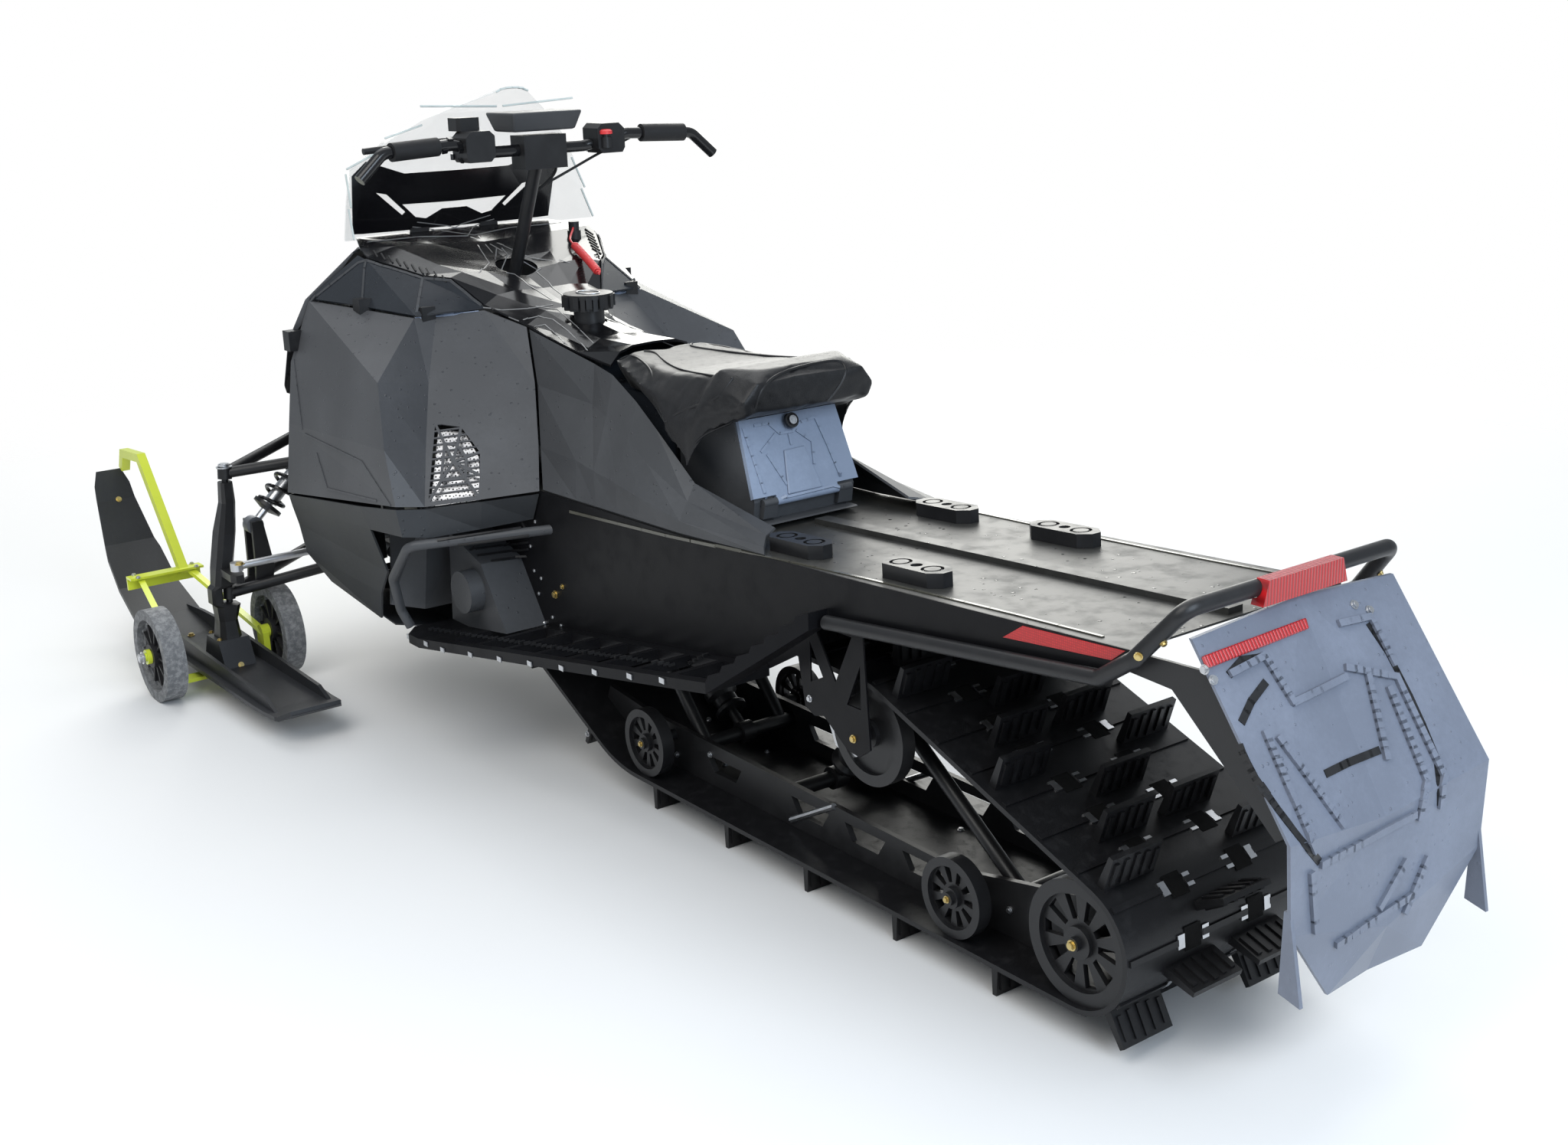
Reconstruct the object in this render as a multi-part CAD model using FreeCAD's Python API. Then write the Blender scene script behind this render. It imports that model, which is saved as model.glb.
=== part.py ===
import FreeCAD, Part
import math
import os

# Snowmobile standing on its ski dollies. Lengths are in millimetres.
# x is a station ahead of the rear axle, y is to the left, z is above the floor.
# save() moves every piece back by MID_STATION, so the origin lies under the middle.

V = FreeCAD.Vector
os.makedirs("parts", exist_ok=True)

# Clearances and skins
FIT = 0.3            # between pieces that seat on or turn in each other
SEAM = 4.0           # open seam between two body panels
SKIN = 4.0           # moulded body panels
SHEET = 3.0          # folded tunnel sheet
MID_STATION = 1271.0

# Track loop
TRACK_WIDTH = 381.0
BELT = 8.0
LUG_HEIGHT = 52.0
LUG_ROOT = 14.0
LUG_TIP = 8.0
LUG_WIDTH = 96.0
LUG_ROWS = 51
# one row of lug centres (y) after another, repeated round the loop
LUG_OUTER, LUG_INNER = TRACK_WIDTH / 2 - 62.5, 66.0
LUG_PATTERN = ((-LUG_OUTER, LUG_OUTER), (0.0,), (-LUG_INNER, LUG_INNER))
FLOOR = 0.0

# Wheels inside the loop: station, radius; heights follow from the belt
IDLER_RADIUS = 90.0
BELT_LINE = FLOOR + LUG_HEIGHT + BELT
IDLER_Z = BELT_LINE + IDLER_RADIUS
CARRIER_X, CARRIER_Z, CARRIER_RADIUS = 430.0, 322.0, 81.0
DRIVE_X, DRIVE_Z, DRIVE_RADIUS = 1510.0, 348.0, 88.0
BEND_X, BEND_RADIUS = 1075.0, 260.0
BOGIE_STATIONS = (250.0, 1055.0)
BOGIE_RADIUS = 62.0
WHEEL_WIDTH = 24.0
OUTER_WHEEL_Y = TRACK_WIDTH / 2 - 20.5
INNER_WHEEL_Y = 45.0
RAIL_Y = TRACK_WIDTH / 2 - 78.5
RAIL_THICKNESS = 10.0
RAIL_TOP = 128.0
AXLE_RADIUS = 10.0

# Tunnel
TRACK_GAP = 14.5
TUNNEL_HALF = TRACK_WIDTH / 2 + TRACK_GAP
TUNNEL_OUTER = TUNNEL_HALF + SHEET
TUNNEL_FRONT_X = 1668.0
TUNNEL_REAR_X = -106.0
DECK_FRONT_Z, DECK_KNEE_X, DECK_KNEE_Z, DECK_REAR_Z = 537.0, 845.0, 547.0, 596.0
SIDE_STEP_X, SIDE_STEP_Z = 500.0, 503.0
BUMPER_RADIUS = 11.0
BUMPER_LINE_Y = TUNNEL_OUTER + BUMPER_RADIUS + FIT
HOOP_X, HOOP_Z, HOOP_Y = -184.0, 664.0, BUMPER_LINE_Y - 19.3
RIB_WIDTH, RIB_HEIGHT = 28.0, 9.0

# Running boards
BOARD_FRONT_X, BOARD_FRONT_Z = 1480.0, 262.0
BOARD_REAR_X, BOARD_REAR_Z = 634.0, 385.0
BOARD_FRONT_Y, BOARD_REAR_Y = 398.0, 330.0
BOARD_DEPTH = 18.0
BOARD_RIM = 20.0
RUNG_PITCH = 95.0
RUNG = 16.0
BOARD_END_X, BOARD_END_Z, BOARD_END_Y = 484.0, 512.0, 245.0

# Steering post and bar
CLAMP = V(1601.0, 0.0, 1127.0)
POST_SLOPE = V(465.0, 0.0, -885.0)
POST_LENGTH = 620.0
POST_RADIUS = 13.0
BAR_RADIUS = 11.0
GRIP_RADIUS = 17.0
BAR_HALF = 385.0

# Front suspension (left side; the right one is its mirror)
BALL_TOP = V(2223.0, 460.0, 464.0)
BALL_LOW = V(2213.0, 485.0, 205.0)
ARM_INNER_Y = 160.0
# rear and front inner pivots: station, and the heights of the upper and lower arm
ARM_STATIONS = (2100.0, 2350.0)
UPPER_INNER_Z, LOWER_INNER_Z = (491.0, 524.0), (262.0, 262.0)
ARM_RADIUS = 12.0
TIE_Z = 259.0

# Skis and dollies
SKI_Y = 500.0
SKI_WIDTH = 150.0
SKI_BASE_Z = 48.0
SKI_PLATE = 9.0
DOLLY_RADIUS = 100.0
DOLLY_WIDTH = 44.0
DOLLY_X = 2225.0
DOLLY_Y = 513.0
DOLLY_SPREAD = 131.0
DOLLY_LEG, DOLLY_LEG_TOP, DOLLY_LEG_WIDTH = 89.0, 50.0, 14.0
DOLLY_BAR = 20.0
DOLLY_AXLE = 9.0
CROSS_BAR_X, CROSS_BAR_Z = 2536.0, 175.0
HOOK_Y = 471.0
STRAP = 8.0

# Height above the deck of the level that the cushion sits on, over tank and storage box
SEAT_RISE = 179.7
SEAT_REST = DECK_KNEE_Z + SEAT_RISE

# Storage box and door at the back of the seat
DOOR_HINGE_X, DOOR_HINGE_Z = 795.0, 592.0
DOOR_TOP_X, DOOR_TOP_Z = 846.0, SEAT_REST - 4.7
DOOR_HALF_LOW, DOOR_HALF_TOP = 112.0, 100.0
DOOR_THICKNESS = 8.0
HINGE_RADIUS = 7.0


# Building blocks

def as_vector(point):
    return V(*point)


def face_of(points):
    ring = [as_vector(point) for point in points]
    return Part.Face(Part.makePolygon(ring + [ring[0]]))


def side_prism(outline, y0, y1):
    """An (x, z) outline carried from y0 to y1."""
    return face_of([(x, y0, z) for x, z in outline]).extrude(V(0, y1 - y0, 0))


def plan_prism(outline, z0, z1):
    """An (x, y) outline carried from z0 to z1."""
    return face_of([(x, y, z0) for x, y in outline]).extrude(V(0, 0, z1 - z0))


def front_prism(outline, x0, x1):
    """A (y, z) outline carried from x0 to x1."""
    return face_of([(x0, y, z) for y, z in outline]).extrude(V(x1 - x0, 0, 0))


def block(x0, x1, y0, y1, z0, z1):
    return Part.makeBox(x1 - x0, y1 - y0, z1 - z0, V(x0, y0, z0))


def rod(start, end, radius):
    start, end = as_vector(start), as_vector(end)
    return Part.makeCylinder(radius, (end - start).Length, start, end - start)


def sleeve(start, end, outer, inner):
    return rod(start, end, outer).cut(rod(start, end, inner))


def unit(vector):
    return vector * (1.0 / vector.Length)


def bent_rod(points, radius, bend):
    """A round bar along straight runs joined by tangent arcs of radius bend."""
    spots = [as_vector(point) for point in points]
    edges = []
    last = spots[0]
    for before, corner, after in zip(spots, spots[1:], spots[2:]):
        back = unit(before - corner)
        ahead = unit(after - corner)
        turn = math.pi - back.getAngle(ahead)
        reach = bend * math.tan(turn / 2)
        start = corner + back * reach
        end = corner + ahead * reach
        middle = corner + unit(back + ahead) * (bend / math.cos(turn / 2) - bend)
        edges.append(Part.LineSegment(last, start).toShape())
        edges.append(Part.Arc(start, middle, end).toShape())
        last = end
    edges.append(Part.LineSegment(last, spots[-1]).toShape())
    section = Part.Wire([Part.Circle(spots[0], spots[1] - spots[0], radius).toShape()])
    return Part.Wire(edges).makePipeShell([section], True, False)


def facet_panel(grid, inward):
    """A closed panel: a grid of corner points, and the same grid moved by inward.

    Each cell is split into two triangles, on the right side along its other diagonal,
    so that a grid that crosses the middle comes out symmetric.
    """
    step = as_vector(inward)
    outer = [[as_vector(point) for point in row] for row in grid]
    inner = [[point + step for point in row] for row in outer]
    rows, columns = len(outer), len(outer[0])
    faces = []
    for i in range(rows - 1):
        for j in range(columns - 1):
            for skin in (outer, inner):
                ring = [skin[i][j], skin[i][j + 1], skin[i + 1][j + 1], skin[i + 1][j]]
                if sum(point.y for point in ring) < 0:
                    ring = ring[1:] + ring[:1]
                a, b, c, d = ring
                faces.append(face_of([a, b, c]))
                faces.append(face_of([a, c, d]))
    border = [(0, j) for j in range(columns)]
    border += [(i, columns - 1) for i in range(1, rows)]
    border += [(rows - 1, j) for j in range(columns - 2, -1, -1)]
    border += [(i, 0) for i in range(rows - 2, 0, -1)]
    for (i, j), (k, m) in zip(border, border[1:] + border[:1]):
        faces.append(face_of([outer[i][j], outer[k][m], inner[k][m], inner[i][j]]))
    shell = Part.makeShell(faces)
    shell.sewShape()
    solid = Part.makeSolid(shell).removeSplitter()
    if solid.Volume < 0:
        solid.reverse()
    return solid


def mirrored(shape):
    return shape.mirror(V(0, 0, 0), V(0, 1, 0))


def both_sides(shape):
    return [shape, mirrored(shape)]


def across(half_row):
    """A row given from the centre line outwards, completed to the right side."""
    right = [(x, -y, z) for x, y, z in reversed(half_row) if y > 0]
    return right + list(half_row)


def seated(peg, *neighbours):
    """What is left of a peg when its neighbours are cut out of it, so that it ends on their faces."""
    for neighbour in neighbours:
        peg = peg.cut(neighbour)
    return max(peg.Solids, key=lambda solid: solid.Volume)


def fused(shapes):
    return shapes[0].multiFuse(shapes[1:]).removeSplitter()


def save(name, *solids):
    moved = [solid.translated(V(-MID_STATION, 0, 0)) for solid in solids]
    shape = moved[0] if len(moved) == 1 else Part.makeCompound(moved)
    shape.exportStep("parts/" + name + ".step")
    print(name, len(shape.Solids), "solids", round(shape.Volume / 1000.0), "cm3", shape.isValid())


# Track: a loop round four circles, with lugs standing on its outside

def loop_circles(offset):
    """Rows of station, height, radius, counter-clockwise seen from the right side."""
    return (
        (0.0, IDLER_Z, IDLER_RADIUS + offset),
        (BEND_X, BELT_LINE + BEND_RADIUS, BEND_RADIUS + offset),
        (DRIVE_X, DRIVE_Z, DRIVE_RADIUS + offset),
        (CARRIER_X, CARRIER_Z, CARRIER_RADIUS + offset),
    )


def loop_normals(circles):
    """Outward angle of the straight run that leaves each circle."""
    angles = []
    for (x0, z0, r0), (x1, z1, r1) in zip(circles, circles[1:] + circles[:1]):
        run = math.hypot(x1 - x0, z1 - z0)
        angles.append(math.atan2(z1 - z0, x1 - x0) - math.acos((r0 - r1) / run))
    return angles


def on_circle(circle, angle):
    x, z, radius = circle
    return x + radius * math.cos(angle), z + radius * math.sin(angle)


def loop_face(offset, y):
    circles = loop_circles(offset)
    angles = loop_normals(circles)
    edges = []
    for k, circle in enumerate(circles):
        arrive, leave = angles[k - 1], angles[k]
        leave += 2 * math.pi * math.ceil((arrive - leave) / (2 * math.pi))
        spots = [on_circle(circle, a) for a in (arrive, (arrive + leave) / 2, leave)]
        start, middle, end = [V(x, y, z) for x, z in spots]
        edges.append(Part.Arc(start, middle, end).toShape())
        following = circles[(k + 1) % len(circles)]
        x, z = on_circle(following, leave)
        edges.append(Part.LineSegment(end, V(x, y, z)).toShape())
    return Part.Face(Part.Wire(edges))


def loop_place(distance):
    """Point and outward angle on the belt's outside, a distance round the loop."""
    circles = loop_circles(BELT)
    angles = loop_normals(circles)
    while True:
        for k, circle in enumerate(circles):
            arrive, leave = angles[k - 1], angles[k]
            leave += 2 * math.pi * math.ceil((arrive - leave) / (2 * math.pi))
            arc = circle[2] * (leave - arrive)
            if distance < arc:
                angle = arrive + distance / circle[2]
                return on_circle(circle, angle), angle
            distance -= arc
            start = on_circle(circle, leave)
            end = on_circle(circles[(k + 1) % len(circles)], leave)
            run = math.hypot(end[0] - start[0], end[1] - start[1])
            if distance < run:
                share = distance / run
                spot = [a + (b - a) * share for a, b in zip(start, end)]
                return tuple(spot), leave
            distance -= run


def loop_length(face):
    return face.OuterWire.Length


def lug(centre_y, place, angle):
    """One tapered lug, its root sunk into the belt."""
    x, z = place
    out = (math.cos(angle), math.sin(angle))
    along = (-out[1], out[0])
    sink = BELT / 2
    corners = (
        (-LUG_ROOT / 2, -sink), (LUG_ROOT / 2, -sink),
        (LUG_TIP / 2, LUG_HEIGHT), (-LUG_TIP / 2, LUG_HEIGHT),
    )
    outline = [(x + a * along[0] + b * out[0], z + a * along[1] + b * out[1]) for a, b in corners]
    return side_prism(outline, centre_y - LUG_WIDTH / 2, centre_y + LUG_WIDTH / 2)


def make_track():
    half = TRACK_WIDTH / 2
    outside = loop_face(BELT, -half)
    belt = outside.cut(loop_face(0.0, -half)).Faces[0].extrude(V(0, TRACK_WIDTH, 0))
    pitch = loop_length(outside) / LUG_ROWS
    print("track loop", round(loop_length(outside)), "pitch", round(pitch, 1))
    lugs = []
    for row in range(LUG_ROWS):
        place, angle = loop_place(row * pitch)
        for centre_y in LUG_PATTERN[row % len(LUG_PATTERN)]:
            lugs.append(lug(centre_y, place, angle))
    return belt.multiFuse(lugs)


save("track", make_track())


# Wheels

def wheel(x, z, centre_y, radius, width, spokes, bore=0.0):
    """A wheel with rim, thin web and hub; spokes is the number of slots cut in the web."""
    rim = 0.78 * radius
    hub = 0.26 * radius
    low = centre_y - width / 2
    body = rod((x, low, z), (x, low + width, z), radius)
    web = width * 0.35
    for start in (low, low + width - (width - web) / 2):
        cut_end = start + (width - web) / 2
        body = body.cut(sleeve((x, start, z), (x, cut_end, z), rim, hub))
    for k in range(spokes):
        angle = 2 * math.pi * k / spokes
        near, far = hub * 1.35, rim * 0.94
        slot_half = 0.5 * math.pi * near / spokes
        far_half = 0.5 * math.pi * far / spokes
        outline = [(near, -slot_half), (far, -far_half), (far, far_half), (near, slot_half)]
        turned = [(x + a * math.cos(angle) - b * math.sin(angle),
                   z + a * math.sin(angle) + b * math.cos(angle)) for a, b in outline]
        body = body.cut(side_prism(turned, low - 1, low + width + 1))
    if bore:
        body = body.cut(rod((x, low - 1, z), (x, low + width + 1, z), bore))
    return body


rail_outer = RAIL_Y + RAIL_THICKNESS / 2
rail_inner = RAIL_Y - RAIL_THICKNESS / 2
wheel_outer = OUTER_WHEEL_Y + WHEEL_WIDTH / 2

# Bogie wheels on stub axles outside the rails
bogies = []
for station in BOGIE_STATIONS:
    height = BELT_LINE + BOGIE_RADIUS
    disc = wheel(station, height, OUTER_WHEEL_Y, BOGIE_RADIUS - FIT, WHEEL_WIDTH, 10)
    stub = rod((station, rail_outer, height), (station, wheel_outer + 6, height), AXLE_RADIUS)
    bogies += both_sides(fused([disc, stub]))
save("bogie_wheels", *bogies)

# Rear idlers on one through axle
axle = rod((0, -wheel_outer - 8, IDLER_Z), (0, wheel_outer + 8, IDLER_Z), AXLE_RADIUS)
idlers = [wheel(0, IDLER_Z, side * y, IDLER_RADIUS - FIT, WHEEL_WIDTH, 10)
          for y in (OUTER_WHEEL_Y, INNER_WHEEL_Y) for side in (1, -1)]
save("rear_idlers", fused([axle] + idlers))

# Upper carrier discs on the shaft between the tunnel's drop brackets
shaft = rod((CARRIER_X, -TUNNEL_HALF, CARRIER_Z), (CARRIER_X, TUNNEL_HALF, CARRIER_Z), AXLE_RADIUS)
discs = [wheel(CARRIER_X, CARRIER_Z, side * OUTER_WHEEL_Y, CARRIER_RADIUS - FIT, WHEEL_WIDTH, 0)
         for side in (1, -1)]
save("carrier_wheels", fused([shaft] + discs))


def sprocket(centre_y):
    """Eight drive teeth, their tips just inside the belt."""
    teeth = 8
    tip, root = DRIVE_RADIUS - FIT, DRIVE_RADIUS - 18.0
    outline = []
    for k in range(teeth):
        middle = 2 * math.pi * k / teeth
        for share, radius in ((-0.32, root), (-0.12, tip), (0.12, tip), (0.32, root)):
            angle = middle + share * 2 * math.pi / teeth
            outline.append((DRIVE_X + radius * math.cos(angle), DRIVE_Z + radius * math.sin(angle)))
    return side_prism(outline, centre_y - 16, centre_y + 16)


drive = rod((DRIVE_X, -TUNNEL_HALF, DRIVE_Z), (DRIVE_X, TUNNEL_HALF, DRIVE_Z), 15.0)
save("drive_sprockets", fused([drive, sprocket(64.0), sprocket(-64.0)]))


# Slide rails, lying on the belt and bending up with it

def make_rail():
    low = BELT_LINE + FIT
    climb = loop_normals(loop_circles(0.0))[1] + math.pi / 2
    centre_z = BELT_LINE + BEND_RADIUS
    radius = BEND_RADIUS - FIT
    bend_mid = (BEND_X + radius * math.sin(climb / 2), centre_z - radius * math.cos(climb / 2))
    bend_end = (BEND_X + radius * math.sin(climb), centre_z - radius * math.cos(climb))
    tip_run = 96.0
    tip = (bend_end[0] + tip_run * math.cos(climb), bend_end[1] + tip_run * math.sin(climb))
    y0 = RAIL_Y - RAIL_THICKNESS / 2

    def at(point):
        return V(point[0], y0, point[1])

    top = [(tip[0] - 12, tip[1] + 26), (1130.0, RAIL_TOP + 14), (300.0, RAIL_TOP), (60.0, IDLER_Z + 26),
           (-42.0, IDLER_Z + 24), (-42.0, IDLER_Z - 22), (70.0, low + 30), (78.0, low)]
    edges = [Part.Arc(at((BEND_X, low)), at(bend_mid), at(bend_end)).toShape()]
    spots = [bend_end, tip] + top + [(BEND_X, low)]
    edges += [Part.LineSegment(at(a), at(b)).toShape() for a, b in zip(spots, spots[1:])]
    rail = Part.Face(Part.Wire(edges)).extrude(V(0, RAIL_THICKNESS, 0))
    # windows between the rail's top and bottom chords: start, end
    for start, end in ((330.0, 430.0), (470.0, 570.0), (610.0, 710.0), (850.0, 950.0)):
        window = [(start, RAIL_TOP - 14), (start + 18, low + 26), (end - 18, low + 26), (end, RAIL_TOP - 14)]
        rail = rail.cut(side_prism(window, y0 - 1, y0 + RAIL_THICKNESS + 1))
    hole = rod((0, y0 - 1, IDLER_Z), (0, y0 + RAIL_THICKNESS + 1, IDLER_Z), AXLE_RADIUS + FIT)
    return rail.cut(hole)


save("skid_rails", *both_sides(make_rail()))


# Swing arms between rails and tunnel, and the skid's two shocks
REAR_ARM_TOP, REAR_ARM_FOOT = V(523.0, 0, 354.0), V(196.0, 0, 116.0)
FRONT_ARM_TOP, FRONT_ARM_FOOT = V(1215.0, 0, 352.0), V(1000.0, 0, 112.0)
REAR_SHOCK_FOOT, FRONT_SHOCK_TOP = V(735.0, 0, 108.0), V(1350.0, 0, 385.0)
ARM_TUBE, LEG_TUBE = 13.0, 11.5
ARM_TUBE_Y = RAIL_Y - 28.0


def cross_tube(place, half, radius):
    return rod((place.x, -half, place.z), (place.x, half, place.z), radius)


def swing_arm(top, foot):
    legs = [rod((foot.x, side * ARM_TUBE_Y, foot.z), (top.x, side * ARM_TUBE_Y, top.z), LEG_TUBE)
            for side in (1, -1)]
    return fused([cross_tube(top, TUNNEL_HALF, ARM_TUBE), cross_tube(foot, rail_inner, ARM_TUBE)] + legs)


save("skid_arms", swing_arm(REAR_ARM_TOP, REAR_ARM_FOOT), swing_arm(FRONT_ARM_TOP, FRONT_ARM_FOOT),
     cross_tube(REAR_SHOCK_FOOT, rail_inner, ARM_TUBE), cross_tube(FRONT_SHOCK_TOP, TUNNEL_HALF, ARM_TUBE))


def revolved(start, end, profile):
    """Rows of (distance from start, radius) turned round the line from start to end."""
    axis = unit(end - start)
    side = unit(axis.cross(V(0.3, 1, 0.2)))
    spots = [start + axis * d + side * r for d, r in profile]
    ring = [start + axis * profile[0][0]] + spots + [start + axis * profile[-1][0]]
    return Part.Face(Part.makePolygon(ring + [ring[0]])).revolve(start, axis, 360)


def coil_shock(start, end, eye, pin, across_axis, turns, coil_radius, wire):
    """Damper with eyes at both ends and a spring round it, drawn as closed coils."""
    axis = unit(end - start)
    length = (end - start).Length
    body_radius = coil_radius - wire
    first, last = eye * 2.4, length - eye * 2.4
    profile = [(eye * 0.9, body_radius * 0.45), (first, body_radius * 0.45), (first, coil_radius)]
    pitch = (last - first) / turns
    for k in range(turns):
        at = first + k * pitch
        for share, radius in ((0.16, coil_radius), (0.34, body_radius), (0.66, body_radius),
                              (0.84, coil_radius)):
            profile.append((at + share * pitch, radius))
    profile += [(last, coil_radius), (last, body_radius * 0.45), (length - eye * 0.9, body_radius * 0.45)]
    shock = revolved(start, end, profile)
    across_axis = unit(across_axis)
    for centre in (start, end):
        eye_rod = Part.makeCylinder(eye, 26.0, centre - across_axis * 13.0, across_axis)
        shock = shock.fuse(eye_rod)
    for centre in (start, end):
        bore = Part.makeCylinder(pin + FIT, 60.0, centre - across_axis * 30.0, across_axis)
        shock = shock.cut(bore)
    return shock


sideways = V(0, 1, 0)
save("skid_shocks",
     coil_shock(FRONT_ARM_FOOT, FRONT_SHOCK_TOP, 20.0, ARM_TUBE, sideways, 8, 30.0, 8.0),
     coil_shock(REAR_SHOCK_FOOT, REAR_ARM_TOP, 20.0, ARM_TUBE, sideways, 7, 30.0, 8.0))


# Tunnel: top sheet and two sides with drop brackets

def deck_z(x):
    """Height of the tunnel's top at a station."""
    if x > DECK_KNEE_X:
        share = (x - DECK_KNEE_X) / (TUNNEL_FRONT_X - DECK_KNEE_X)
        return DECK_KNEE_Z + (DECK_FRONT_Z - DECK_KNEE_Z) * share
    share = (DECK_KNEE_X - x) / (DECK_KNEE_X - TUNNEL_REAR_X)
    return DECK_KNEE_Z + (DECK_REAR_Z - DECK_KNEE_Z) * share


deck_stations = (TUNNEL_FRONT_X, DECK_KNEE_X, TUNNEL_REAR_X)
deck_line = [(x, deck_z(x)) for x in deck_stations]
deck_outline = deck_line + [(x, z - SHEET) for x, z in reversed(deck_line)]
tunnel_top = side_prism(deck_outline, -TUNNEL_HALF, TUNNEL_HALF)
rib_line = [(758.0, deck_z(758.0)), (-96.0, deck_z(-96.0))]
rib_outline = rib_line + [(x, z + RIB_HEIGHT) for x, z in reversed(rib_line)]
save("tunnel_top", tunnel_top.fuse(side_prism(rib_outline, -RIB_WIDTH / 2, RIB_WIDTH / 2)).removeSplitter())


def board_z(x):
    share = (BOARD_FRONT_X - x) / (BOARD_FRONT_X - BOARD_REAR_X)
    return BOARD_FRONT_Z + (BOARD_REAR_Z - BOARD_FRONT_Z) * share


def make_tunnel_side():
    low_rear = DECK_REAR_Z - 36.0
    outline = [(x, deck_z(x)) for x in deck_stations]
    outline += [(-63.0, low_rear), (SIDE_STEP_X - 94, SIDE_STEP_Z), (392.0, CARRIER_Z - 8),
                (418.0, CARRIER_Z - 26), (446.0, CARRIER_Z - 22), (500.0, 338.0), (523.0, 332.0),
                (545.0, 342.0), (560.0, 420.0), (BOARD_REAR_X, BOARD_REAR_Z - 6),
                (BOARD_FRONT_X, BOARD_FRONT_Z - 6), (TUNNEL_FRONT_X, 250.0)]
    side = side_prism(outline, TUNNEL_HALF, TUNNEL_OUTER)
    # lightening holes in the drop bracket
    for hole in (((430, 480), (520, 480), (470, 400)), ((412, 440), (444, 372), (412, 372)),
                 ((500, 400), (530, 450), (530, 385))):
        side = side.cut(side_prism(hole, TUNNEL_HALF - 1, TUNNEL_OUTER + 1))
    return side


save("tunnel_sides", *both_sides(make_tunnel_side()))


# Running boards: an open ladder of rungs, toothed on top, with an upswept tail

def make_board():
    def rim_y(x):
        share = (BOARD_FRONT_X - x) / (BOARD_FRONT_X - BOARD_REAR_X)
        return BOARD_FRONT_Y + (BOARD_REAR_Y - BOARD_FRONT_Y) * share

    inner = TUNNEL_OUTER + FIT
    x0, x1 = BOARD_REAR_X, BOARD_FRONT_X
    outline = [(x0, inner), (x1, inner), (x1 + 60, inner), (x1 + 74, BOARD_FRONT_Y - 30),
               (x1 + 40, BOARD_FRONT_Y), (x1, BOARD_FRONT_Y), (x0, BOARD_REAR_Y)]
    tall = plan_prism(outline, 0.0, 800.0)
    slab_line = [(x0, board_z(x0)), (x1, board_z(x1)), (x1 + 74, board_z(x1))]
    slab_outline = slab_line + [(x, z - BOARD_DEPTH) for x, z in reversed(slab_line)]
    board = side_prism(slab_outline, 0, 500).common(tall)
    count = int((x1 - x0) / RUNG_PITCH)
    for k in range(count):
        start = x0 + RUNG + k * RUNG_PITCH
        end = start + RUNG_PITCH - RUNG
        window = [(start, inner + BOARD_RIM), (end, inner + BOARD_RIM),
                  (end, rim_y(end) - BOARD_RIM), (start, rim_y(start) - BOARD_RIM)]
        board = board.cut(plan_prism(window, 0.0, 800.0))
    # tail: a toothed strip that sweeps up and in to the tunnel's edge rail
    teeth = 7
    tail_line = []
    for k in range(teeth + 1):
        share = k / teeth
        x = BOARD_REAR_X + (BOARD_END_X - BOARD_REAR_X) * share
        z = BOARD_REAR_Z + (BOARD_END_Z - BOARD_REAR_Z) * share
        tail_line.append((x, z))
        if k < teeth:
            tail_line.append((x - 4.0, z + 12.0))
    below = [(BOARD_END_X, BOARD_END_Z - 26.0), (BOARD_REAR_X, BOARD_REAR_Z - BOARD_DEPTH)]
    strip = side_prism(tail_line + below, 0, 500)
    strip_plan = [(BOARD_REAR_X, BOARD_REAR_Y), (BOARD_REAR_X, BOARD_REAR_Y - 46),
                  (BOARD_END_X, BOARD_END_Y - 36), (BOARD_END_X, BOARD_END_Y)]
    tail = strip.common(plan_prism(strip_plan, 0.0, 800.0))
    return fused([board, tail])


save("running_boards", *both_sides(make_board()))


# Rear bumper: side rails along the tunnel's lower edge, corners and a raised cross bar
rail_drop = DECK_REAR_Z - 44.0
bumper_half = [(SIDE_STEP_X - 26, BUMPER_LINE_Y, SIDE_STEP_Z - 8), (-66.0, BUMPER_LINE_Y, rail_drop),
               (-122.0, BUMPER_LINE_Y, DECK_REAR_Z - 6), (HOOP_X, HOOP_Y, HOOP_Z)]
bumper_path = bumper_half + [(x, -y, z) for x, y, z in reversed(bumper_half)]
save("rear_bumper", bent_rod(bumper_path, BUMPER_RADIUS, 20.0))

# Tail lamp on the cross bar
LAMP_HALF, LAMP_DEPTH, LAMP_TALL = 82.0, 26.0, 26.0
lamp = front_prism([(-LAMP_HALF, HOOP_Z - LAMP_TALL / 2 - 6), (LAMP_HALF, HOOP_Z - LAMP_TALL / 2 - 6),
                    (LAMP_HALF - 10, HOOP_Z + LAMP_TALL / 2), (-LAMP_HALF + 10, HOOP_Z + LAMP_TALL / 2)],
                   HOOP_X - BUMPER_RADIUS - 8, HOOP_X)
around_bar = rod((HOOP_X, -LAMP_HALF - 1, HOOP_Z), (HOOP_X, LAMP_HALF + 1, HOOP_Z), BUMPER_RADIUS + FIT)
save("tail_light", lamp.cut(around_bar))


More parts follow.
